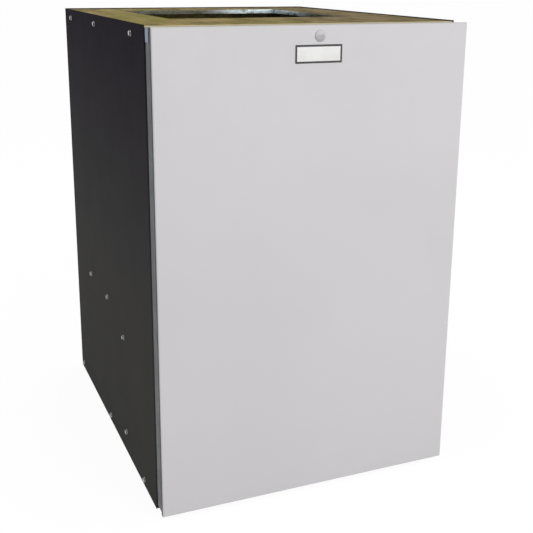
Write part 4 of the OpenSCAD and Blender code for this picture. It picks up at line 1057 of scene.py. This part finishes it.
class FURNACE_OT_door(bpy.types.Operator):
    """Makes the door: its painted skin, inner frame, insulation, gasket and blank plate"""
    bl_idname = "furnace.door"
    bl_label = "Door"

    def execute(self, context):
        sizes = context.scene.furnace_sizes
        low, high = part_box("door_skin")
        front, back = low.y, high.y
        bend, rim = front + sizes.fold + 0.1 * MM, front + 5.8 * MM
        skin = box("skin", low, high)
        delete_faces(skin, lambda f: f.normal.y > SQUARE)
        bevel_edges(skin, lambda e: folds(e) and not runs(e, Y), sizes.fold, 5)
        bevel_edges(skin, lambda e: folds(e) and runs(e, Y), 0.5 * MM, 2)
        cut_at(skin, Y, bend, rim)
        thicken(skin)
        deliver(skin, "pale_paint", "door_skin")
        # Painted shade on the side returns: a dark line just behind the front bend, then darkened zinc to
        # the back
        paint(skin, "dark_paint", lambda c, n: abs(n.x) > SQUARE and bend < c.y < rim)
        paint(skin, "dull_steel", lambda c, n: abs(n.x) > SQUARE and c.y > rim)

        low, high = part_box("door_frame")
        seam = back + 1.6 * MM
        inner = box("inner_frame", low, high)
        delete_faces(inner, lambda f: f.normal.y < -SQUARE)
        inset(inner, Y, (24 * MM, 0))
        delete_faces(inner, lambda f: f.normal.y > SQUARE and f.calc_area() > LARGE)
        bevel_edges(inner, folds, 1.8 * MM, 4)
        cut_at(inner, Y, seam)
        thicken(inner)
        cut_out(inner, rod("drill", 3.1 * MM, FASTENER + Y * 20 * MM, FASTENER + Y * 50 * MM))
        pieces = [inner]
        corner = Vector((0, high.y, high.z))
        for x in (low.x, high.x):
            tab = box("tab", corner + Vector((x - 0.8 * MM, -18.5 * MM, -20.5 * MM)),
                      corner + Vector((x + 0.8 * MM, -2.2 * MM, -0.5 * MM)))
            bevel_edges(tab, lambda e: runs(e, X), 2 * MM, 4)
            pieces.append(break_edges(tab, 0.2 * MM, 1))
        # The inner frame takes the darkened zinc, a painted shade
        inner = deliver(joined("inner_frame", pieces), "dull_steel", "door_frame")
        # The corner tabs take the pale zinc, and the frame's back bend takes it as a painted highlight line
        paint(inner, "corner_zinc", lambda c, n: abs(c.x) > high.x + 0.2 * MM
              or (abs(n.x) > 0.3 and n.y > 0.3))
        # Painted shadow: a dark line on the frame's sides, just behind the skin's return
        paint(inner, "black_plastic", lambda c, n: abs(abs(c.x) - high.x) < NEAR and c.y < seam)

        lining = board("door_board", *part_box("door_liner"), sizes.crumple * 0.7)
        cut_out(lining, rod("drill", 7 * MM, FASTENER - Y * 10 * MM, FASTENER + Y * 60 * MM))
        deliver(lining, "foil_face", "door_liner", smooth=50)
        carry("sleeve", "fastener_sleeve", "bright_steel")
        carry("gasket", "door_gasket", "foam", 0.8 * MM, 3)

        half = Vector((sizes.plate_width / 2, 0, sizes.plate_height / 2))
        centre = Vector((-1.5 * MM, front, 718.8 * MM))
        plate = box("plate", centre - half - Y * 0.3 * MM, centre + half)
        bevel_edges(plate, lambda e: runs(e, Y), 1 * MM, 4)
        half -= Vector((3 * MM, 0, 3 * MM))
        face = box("plate_face", centre - half - Y * 0.4 * MM, centre + half)
        plate = joined("blank_plate", [break_edges(plate, 0.08 * MM, 1), break_edges(face, 0.06 * MM, 1)])
        deliver(plate, "plate_border", body="door", slot="pale_plastic")
        paint(plate, "plate_face", lambda c, n: c.y < front - 0.31 * MM)
        return {"FINISHED"}


class FURNACE_OT_door_fastener(bpy.types.Operator):
    """Turns the door's fastener: a low dome with a sunk and slotted middle"""
    bl_idname = "furnace.door_fastener"
    bl_label = "Door fastener"

    def execute(self, context):
        low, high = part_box("door_fastener")
        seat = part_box("door_skin")[0].y - 0.06 * MM
        axis = Vector((FASTENER.x, 0, FASTENER.z))
        radius = (high.x - low.x) / 2
        crown = (0.4 * MM, 0.3 * MM, 0.2 * MM)
        shoulder = low.y + sum(crown)
        head = rod("fastener", radius, axis + Y * seat, axis + Y * shoulder, 64)
        bevel_edges(head, end_folds(Y, shoulder), (seat - shoulder) * 0.8, 6)
        inset(head, -Y, *[(radius * 0.16, rise) for rise in crown], (radius * 0.04, -0.4 * MM))
        break_edges(head, 0.15 * MM, 2, 40)
        cut_out(head, box("slot", axis + Vector((-4.2 * MM, low.y - 1 * MM, -0.7 * MM)),
                          axis + Vector((4.2 * MM, low.y + 1.3 * MM, 0.7 * MM))))
        shank = rod("shank", 3 * MM, axis + Y * (seat - 0.2 * MM), axis + Y * high.y, 24)
        bevel_edges(shank, end_folds(Y, high.y), 0.8 * MM, 2)
        turned = deliver(joined("fastener", [head, shank]), "fastener_plastic", "door_fastener")
        paint(turned, "zinc_screws", lambda c, n: c.y > seat + 0.1 * MM)
        return {"FINISHED"}


def hex_screw():
    """One hex washer head screw: its seat lies at z = 0 and its threaded shank below"""
    washer_r, hex_r, core_r, rounding = 4.6 * MM, 3.7 * MM, 1.55 * MM, 0.4 * MM
    washer_top, head_top, foot, thread = 0.8 * MM, 3 * MM, -10 * MM, 0.8 * MM
    washer = rod("washer", washer_r, (0, 0, 0), Z * washer_top, 24)
    bevel_edges(washer, end_folds(Z, washer_top), rounding, 2)
    head = rod("head", hex_r, Z * washer_top, Z * head_top, 6)
    bevel_edges(head, end_folds(Z, head_top), rounding, 2)
    inset(head, Z, (0.8 * MM, 0), (0.4 * MM, -0.25 * MM))
    shank = rod("shank", core_r, Z * foot, Z * 0.1 * MM, 10)
    cut_at(shank, Z, *[-k * thread for k in range(1, 12)])
    tip, neck = foot + 0.5 * MM, -0.5 * MM
    resize(shank, lambda v: round(-v.co.z / thread) % 2 == 1 and tip < v.co.z < neck, (1.27, 1.27, 1))
    resize(shank, lambda v: v.co.z < tip, (0.3, 0.3, 1))
    return joined("screw", [washer, head, shank])


class FURNACE_OT_screws(bpy.types.Operator):
    """Models one hex screw and sets a copy of it in each place"""
    bl_idname = "furnace.screws"
    bl_label = "Screws"

    def execute(self, context):
        screw = hex_screw()
        outer = SIDE_HIGH.x / MM
        back = (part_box("back_panel")[1].y - FRONT) / MM
        plate_y, access_y, foot_z = PARTITION - 1.5, PARTITION - 1, 264
        next_turn = 2.4
        front = [(x + sx * 57, plate_y, HEATER_Z + sz * 100)
                 for x in HEATERS for sx in (-1, 1) for sz in (-1, 1)]
        front += [(x, access_y, 474) for x in (-210, 0, 210)] + [(x, access_y, 752) for x in (-120, 120)]
        feet = [(x, y, foot_z) for x in (-107, 107) for y in (314, 510)]
        sets = {
            "side_screws_right": [(at(outer, y, z), X) for y, z in SIDE_SCREWS],
            "side_screws_left": [(at(-outer, y, z), -X) for y, z in SIDE_SCREWS],
            "back_screws": [(at(x, back, z), Y) for x, z in BACK_SCREWS],
            "panel_screws": [(at(*p), -Y) for p in front] + [(at(*p), Z) for p in feet],
        }
        for node, places in sets.items():
            copies = []
            for number, (place, out) in enumerate(places):
                turn = Matrix.Rotation(number * next_turn, 4, "Z")
                upright = out.to_track_quat("Z", "Y").to_matrix().to_4x4()
                copies.append(copied(screw, Matrix.Translation(place) @ upright @ turn))
            deliver(joined("hex_" + node, copies), "zinc_screws", node)
        bpy.data.objects.remove(screw)
        return {"FINISHED"}


class FURNACE_OT_blower(bpy.types.Operator):
    """Finishes the blower's housing, its inlet rings and its wheel"""
    bl_idname = "furnace.blower"
    bl_label = "Blower"

    def execute(self, context):
        edge = context.scene.furnace_sizes.edge
        carry("scroll", "blower_scroll", "galvanised_steel", edge)
        for side in ("left", "right"):
            carry("housing_" + side, "blower_side_" + side, "galvanised_steel", edge)
            carry("inlet_" + side, "inlet_ring_" + side, "galvanised_steel", edge, smooth=40)
        carry("wheel", "blower_wheel", "galvanised_steel", 0)
        carry("hub", "wheel_hub", "galvanised_steel", 0.6 * MM, 3)
        return {"FINISHED"}


class FURNACE_OT_motor(bpy.types.Operator):
    """Builds the blower motor, with vented end bells, its shaft and its mount"""
    bl_idname = "furnace.motor"
    bl_label = "Motor"

    def execute(self, context):
        axis = Vector((0, WHEEL.y, WHEEL.z))
        bore = 6.41 * MM
        low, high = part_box("motor_shell")
        seat = low.x
        shell = rod("motor_body", (high.z - low.z) / 2, axis + X * low.x, axis + X * high.x, 64)
        groove = 1.8 * MM
        for start in (low.x + 6 * MM, high.x - 9.6 * MM):
            cut_at(shell, X, start, start + groove, start + 2 * groove)
            resize(shell, lambda v: abs(v.co.x - start - groove) < NEAR, (1, 0.984, 0.984), axis)
        cut_out(shell, rod("bore", bore, axis + X * 10 * MM, axis + X * 160 * MM))
        deliver(break_edges(shell, 0.4 * MM), "black_paint", "motor_shell")

        low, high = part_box("motor_end_bells")
        radius = (high.z - low.z) / 2
        recess = 1.5 * MM
        vent_inner, vent_outer = 24 * MM, 44 * MM
        bell = rod("bell", radius, axis + X * seat, axis + X * low.x, 64)
        bevel_edges(bell, end_folds(X, low.x), 5 * MM, 6)
        inset(bell, -X, (2 * MM, 0), (1 * MM, -recess), (radius - vent_inner, 0), (0.8 * MM, recess))
        vents = context.scene.furnace_sizes.vents
        slot = box("vent", (low.x - 10 * MM, -2.8 * MM, vent_inner), (low.x + 5 * MM, 2.8 * MM, vent_outer))
        bevel_edges(slot, lambda e: runs(e, X), 2.7 * MM, 4)
        slots = [copied(slot, Matrix.Translation(axis) @ Matrix.Rotation(2 * pi * k / vents, 4, "X"))
                 for k in range(vents)]
        bpy.data.objects.remove(slot)
        cut_out(bell, joined("vents", slots))
        cut_out(bell, rod("bore", bore, axis, axis + X * 50 * MM))
        pieces = [break_edges(bell, 0.3 * MM, 1)]
        for k in range(4):
            place = axis + Matrix.Rotation(pi / 4 + pi / 2 * k, 3, "X") @ (Z * 52 * MM) + X * low.x
            nut = rod("nut", 4.2 * MM, place + X * recess * 1.2, place + X * 0.1 * MM, 6)
            pieces.append(break_edges(nut, 0.3 * MM, 1))
        near = joined("bells", pieces)
        far = copied(near, Matrix.Translation(X * (low.x + high.x)) @ Matrix.Scale(-1, 4, X))
        deliver(joined("end_bells", [near, far]), "bright_steel", "motor_end_bells")
        carry("shaft", "motor_shaft", "bright_steel", 0.6 * MM)
        carry("mount", "motor_mount", "galvanised_steel", 0.5 * MM)
        return {"FINISHED"}


class FURNACE_OT_run_capacitor(bpy.types.Operator):
    """Builds the run capacitor, with its crimped rim and terminals, and its strap"""
    bl_idname = "furnace.run_capacitor"
    bl_label = "Run capacitor"

    def execute(self, context):
        low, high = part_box("run_capacitor")
        foot = Vector(((low.x + high.x) / 2, (low.y + high.y) / 2, low.z))
        blade_length = 8 * MM
        top = foot + Z * (high.z - low.z - blade_length)
        crimp = top.z - 3.5 * MM
        can = rod("can", 19.4 * MM, foot, top, 48)
        bevel_edges(can, end_folds(Z, low.z), 3 * MM, 4)
        cut_at(can, Z, crimp - 1.5 * MM, crimp, crimp + 1.5 * MM)
        resize(can, lambda v: abs(v.co.z - crimp) < NEAR, (1.03, 1.03, 1), foot)
        inset(can, Z, (1.2 * MM, 0), (0.6 * MM, -1.2 * MM))
        pieces = [break_edges(can, 0.3 * MM)]
        for x in (-8 * MM, 8 * MM):
            post = top + X * x
            boss = rod("boss", 4.5 * MM, post - Z * 1.4 * MM, post + Z * 1 * MM, 24)
            blade = box("blade", post + Vector((-0.4 * MM, -3 * MM, 0)),
                        post + Vector((0.4 * MM, 3 * MM, blade_length)))
            pieces += [boss, break_edges(blade, 0.2 * MM, 1)]
        capacitor = deliver(joined("capacitor", pieces), "capacitor_can", "run_capacitor")
        paint(capacitor, "black_plastic", lambda c, n: c.z > top.z - 1.6 * MM
              and (c - foot).xy.length < 17.2 * MM)
        paint(capacitor, "brass", lambda c, n: c.z > top.z + 1.1 * MM)
        carry("strap", "capacitor_strap", "galvanised_steel")
        return {"FINISHED"}


def coil_line(x):
    """The middle line of one heater's coil: eight runs joined at their ends"""
    points = []
    side = -COIL_X
    for k in range(4):
        z = HEATER_Z + (k - 1.5) * COIL_Z
        points += [at(x + side, COIL_FRONT, z), at(x + side, COIL_BACK, z),
                   at(x - side, COIL_BACK, z), at(x - side, COIL_FRONT, z)]
        side = -side
    return rounded(points, 6 * MM, 5)


def wound(line, radius, link_radius, pitch):
    """A helix round a line: full on the runs along Y and drawn out on the links between them"""
    points_a_turn, link_stretch = 8, 5
    path = []
    across = X
    travel = turn = 0.0
    for start, end in zip(line, line[1:]):
        ahead = (end - start).normalized()
        across = (across - ahead * across.dot(ahead)).normalized()
        up = ahead.cross(across)
        reach = (end - start).length
        full = abs(ahead.y) ** 2
        size = link_radius + (radius - link_radius) * full
        step = pitch / points_a_turn * (1 + link_stretch * (1 - full))
        while travel < reach:
            path.append(start + ahead * travel + (across * cos(turn) + up * sin(turn)) * size)
            travel += step
            turn += 2 * pi / points_a_turn
        travel -= reach
    return path


class FURNACE_OT_heaters(bpy.types.Operator):
    """Winds the heating coils and finishes the heaters' plates, frames, ceramics and limit switches"""
    bl_idname = "furnace.heaters"
    bl_label = "Heaters"

    def execute(self, context):
        sizes = context.scene.furnace_sizes
        for number, x in enumerate(HEATERS, 1):
            carry(f"element_plate_{number}", f"heater_plate_{number}", "galvanised_steel", sizes.edge)
            carry(f"element_frame_{number}", f"heater_frame_{number}", "galvanised_steel", 0.2 * MM, 1)
            helix = wound(coil_line(x), COIL_R * MM - sizes.wire, 1.2 * MM, sizes.pitch)
            pieces = [tube("winding", helix, sizes.wire, 0)]
            x -= COIL_X
            for z in PIN_HEIGHTS:
                pin = rod("pin", 3 * MM, at(x, 165, z), at(x, 195, z), 24)
                pieces.append(break_edges(pin, 0.5 * MM))
                for y in (168.5, 174):
                    nut = rod("nut", 5 * MM, at(x, y, z), at(x, y + 3, z), 6)
                    pieces.append(break_edges(nut, 0.4 * MM))
            coil = deliver(joined(f"coil_{number}", pieces), "resistance_wire",
                           f"heater_coil_{number}", smooth=80)
            paint(coil, "bright_steel", in_front_of(192.5))
        carry("ceramics", "heater_insulators", "white_ceramic", 0.4 * MM)
        limits = carry("limits", "limit_switches", "black_plastic", 0.4 * MM)
        paint(limits, "bright_steel", behind(PARTITION - 3.6))
        paint(limits, "brass", in_front_of(172.4))
        return {"FINISHED"}


class FURNACE_OT_controls(bpy.types.Operator):
    """Finishes the sequencers, relay, transformer, terminal strip, ground lug and breaker bracket"""
    bl_idname = "furnace.controls"
    bl_label = "Controls"

    def execute(self, context):
        for number in (1, 2, 3):
            sequencer = carry(f"sequencer_body_{number}", f"sequencer_{number}", "black_plastic", 0.5 * MM)
            paint(sequencer, "galvanised_steel", behind(182.4))
            paint(sequencer, "brass", in_front_of(150.4))
        relay = carry("relay", "fan_relay", "black_plastic", 0.8 * MM, 3)
        paint(relay, "brass", in_front_of(151.9))
        core = carry("core", "transformer_core", "laminations", 0.4 * MM)
        paint(core, "galvanised_steel", behind(176.1))
        carry("windings", "transformer_coil", "winding_tape", 1.5 * MM, 4)

        strip = dressed("terminal_strip", "thermostat_terminals", 0.4 * MM)
        slots = [box("slot", at(x - 3.2, 166, STRIP_Z - 0.5), at(x + 3.2, 168.2, STRIP_Z + 0.5))
                 for x in TERMINALS]
        cut_out(strip, joined("slots", slots))
        deliver(strip, "black_plastic", "thermostat_terminals")
        paint(strip, "brass", in_front_of(169.9))
        carry("lug", "ground_lug", "capacitor_can", 0.8 * MM, 3)
        carry("bracket", "breaker_bracket", "galvanised_steel", 0.5 * MM)
        return {"FINISHED"}


class FURNACE_OT_breakers(bpy.types.Operator):
    """Finishes the two circuit breakers and their toggles"""
    bl_idname = "furnace.breakers"
    bl_label = "Breakers"

    def execute(self, context):
        for number in (1, 2):
            carry(f"breaker_case_{number}", f"breaker_{number}", "black_plastic", 0.8 * MM, 3)
            carry(f"toggle_{number}", f"breaker_toggle_{number}", "toggle_plastic", 1.2 * MM, 4)
        return {"FINISHED"}


def wire(route, radius, coat, sleeves=True):
    """One insulated wire along a route in millimetres, with a crimped sleeve at each end"""
    points = [at(*p) for p in route]
    pieces = [tube("wire", rounded(points, 8 * MM), radius, 2)]
    if sleeves:
        for end, inner in ((points[0], points[1]), (points[-1], points[-2])):
            ahead = (inner - end).normalized()
            pieces.append(rod("sleeve", radius * 1.25, end, end + ahead * 9 * MM, 16))
    for piece, finish in zip(pieces, (coat, "pale_plastic", "pale_plastic")):
        piece.data.materials.append(FINISHES[finish]())
    return pieces


class FURNACE_OT_wiring(bpy.types.Operator):
    """Lays the wires between the breakers, sequencers, heaters, relay, motor and terminal strip"""
    bl_idname = "furnace.wiring"
    bl_label = "Wiring"

    def execute(self, context):
        thick, lead, thin = 2.2 * MM, 3 * MM, 1.2 * MM
        breaker_foot, spade_end, pin_end = 319.8, 142.3, 164.8
        run, drop, feed, low_run, riser = 112, 130, 120, 95, 210
        heavy = []
        starts = [x + side * 12 for x in BREAKERS for side in (-1, 1)]
        ends = [SEQUENCERS[2] + 8, SEQUENCERS[1] + 8, SEQUENCERS[0] + 8, 43]
        last_y = [spade_end, spade_end, spade_end, 143.8]
        for k, (start, end, y) in enumerate(zip(starts, ends, last_y)):
            z = 282 - 7 * k
            heavy += wire([(start, run, breaker_foot), (start, run, z), (end, run, z), (end, drop, z),
                           (end, drop, SPADE_Z), (end, y, SPADE_Z)], thick,
                          ("black_jacket", "red_jacket")[k % 2])
        for i, (x, z) in enumerate(zip(HEATERS, (240, 240, 250))):
            start, pin = SEQUENCERS[i] - 8, x - COIL_X
            low_pin, high_pin = PIN_HEIGHTS
            heavy += wire([(start, spade_end, SPADE_Z), (start, feed, SPADE_Z), (start, feed, z),
                           (pin, feed, z), (pin, feed, high_pin), (pin, pin_end, high_pin)], thick,
                          "blue_jacket")
            low, rise = 24 + 8 * i, riser - 12 * i
            heavy += wire([(pin, pin_end, low_pin), (pin, low_run, low_pin), (pin, low_run, low),
                           (rise, low_run, low), (rise, low_run, breaker_foot)], thick, "yellow_jacket")
        heavy += wire([(35, 160, 327.2), (35, 160, 450), (35, 194, 450), (180, 194, 450),
                       (180, 390, 450), (150.2, 390, 450)], lead, "black_jacket")
        heavy += wire([(130.7, 510, 416.2), (130.7, 510, 436.2), (172, 510, 436.2), (172, 330, 436.2),
                       (150.2, 330, 436.2)], thick, "black_jacket")
        deliver(joined("heavy_wires", heavy), None, "power_wires", smooth=50)

        light = []
        body_top, strip_foot = 327.2, 393.8
        for route, coat in (
                ([(-125, 175, strip_foot), (-125, 175, body_top)], "yellow_jacket"),
                ([(-55, 175, strip_foot), (-55, 175, body_top)], "white_jacket"),
                ([(-140, 175, strip_foot), (-140, 175, 369.8), (-195, 175, 369.8), (-195, 175, body_top)],
                 "blue_jacket"),
                ([(-161.8, 173, 400), (-145.2, 173, 400)], "red_jacket"),
                ([(-161.8, 173, 410), (-145.2, 173, 410)], "blue_jacket")):
            light += wire(route, thin, coat, sleeves=False)
        deliver(joined("light_wires", light), None, "control_wires", smooth=50)
        return {"FINISHED"}


# The add-on


PIECES = (
    FURNACE_OT_stage, FURNACE_OT_side_panels, FURNACE_OT_back_panel, FURNACE_OT_top_panel,
    FURNACE_OT_base_panel, FURNACE_OT_inner_sheets, FURNACE_OT_liners, FURNACE_OT_door,
    FURNACE_OT_door_fastener, FURNACE_OT_screws, FURNACE_OT_blower, FURNACE_OT_motor,
    FURNACE_OT_run_capacitor, FURNACE_OT_heaters, FURNACE_OT_controls, FURNACE_OT_breakers,
    FURNACE_OT_wiring,
)
GROUPS = {"furnace_sizes": FurnaceSizes, "furnace_colours": FurnaceColours, "furnace_studio": FurnaceStudio}


class VIEW3D_PT_furnace(bpy.types.Panel):
    """Lists the furnace's sizes, colours and pieces"""
    bl_idname = "VIEW3D_PT_furnace"
    bl_label = "Electric furnace"
    bl_space_type = "VIEW_3D"
    bl_region_type = "UI"
    bl_category = "Furnace"

    def draw(self, context):
        for attribute, group in GROUPS.items():
            column = self.layout.column(align=True)
            column.label(text=group.__doc__)
            for name in group.__annotations__:
                column.prop(getattr(context.scene, attribute), name)
        for piece in PIECES:
            self.layout.operator(piece.bl_idname)


def register():
    for cls in (*GROUPS.values(), *PIECES, VIEW3D_PT_furnace):
        bpy.utils.register_class(cls)
    for attribute, group in GROUPS.items():
        setattr(bpy.types.Scene, attribute, PointerProperty(type=group))


def unregister():
    for attribute in GROUPS:
        delattr(bpy.types.Scene, attribute)
    for cls in (VIEW3D_PT_furnace, *reversed(PIECES), *GROUPS.values()):
        bpy.utils.unregister_class(cls)


def main():
    """Makes the studio and every piece"""
    register()
    for piece in PIECES:
        getattr(bpy.ops.furnace, piece.bl_idname.split(".")[1])()


if __name__ == "__main__":
    main()
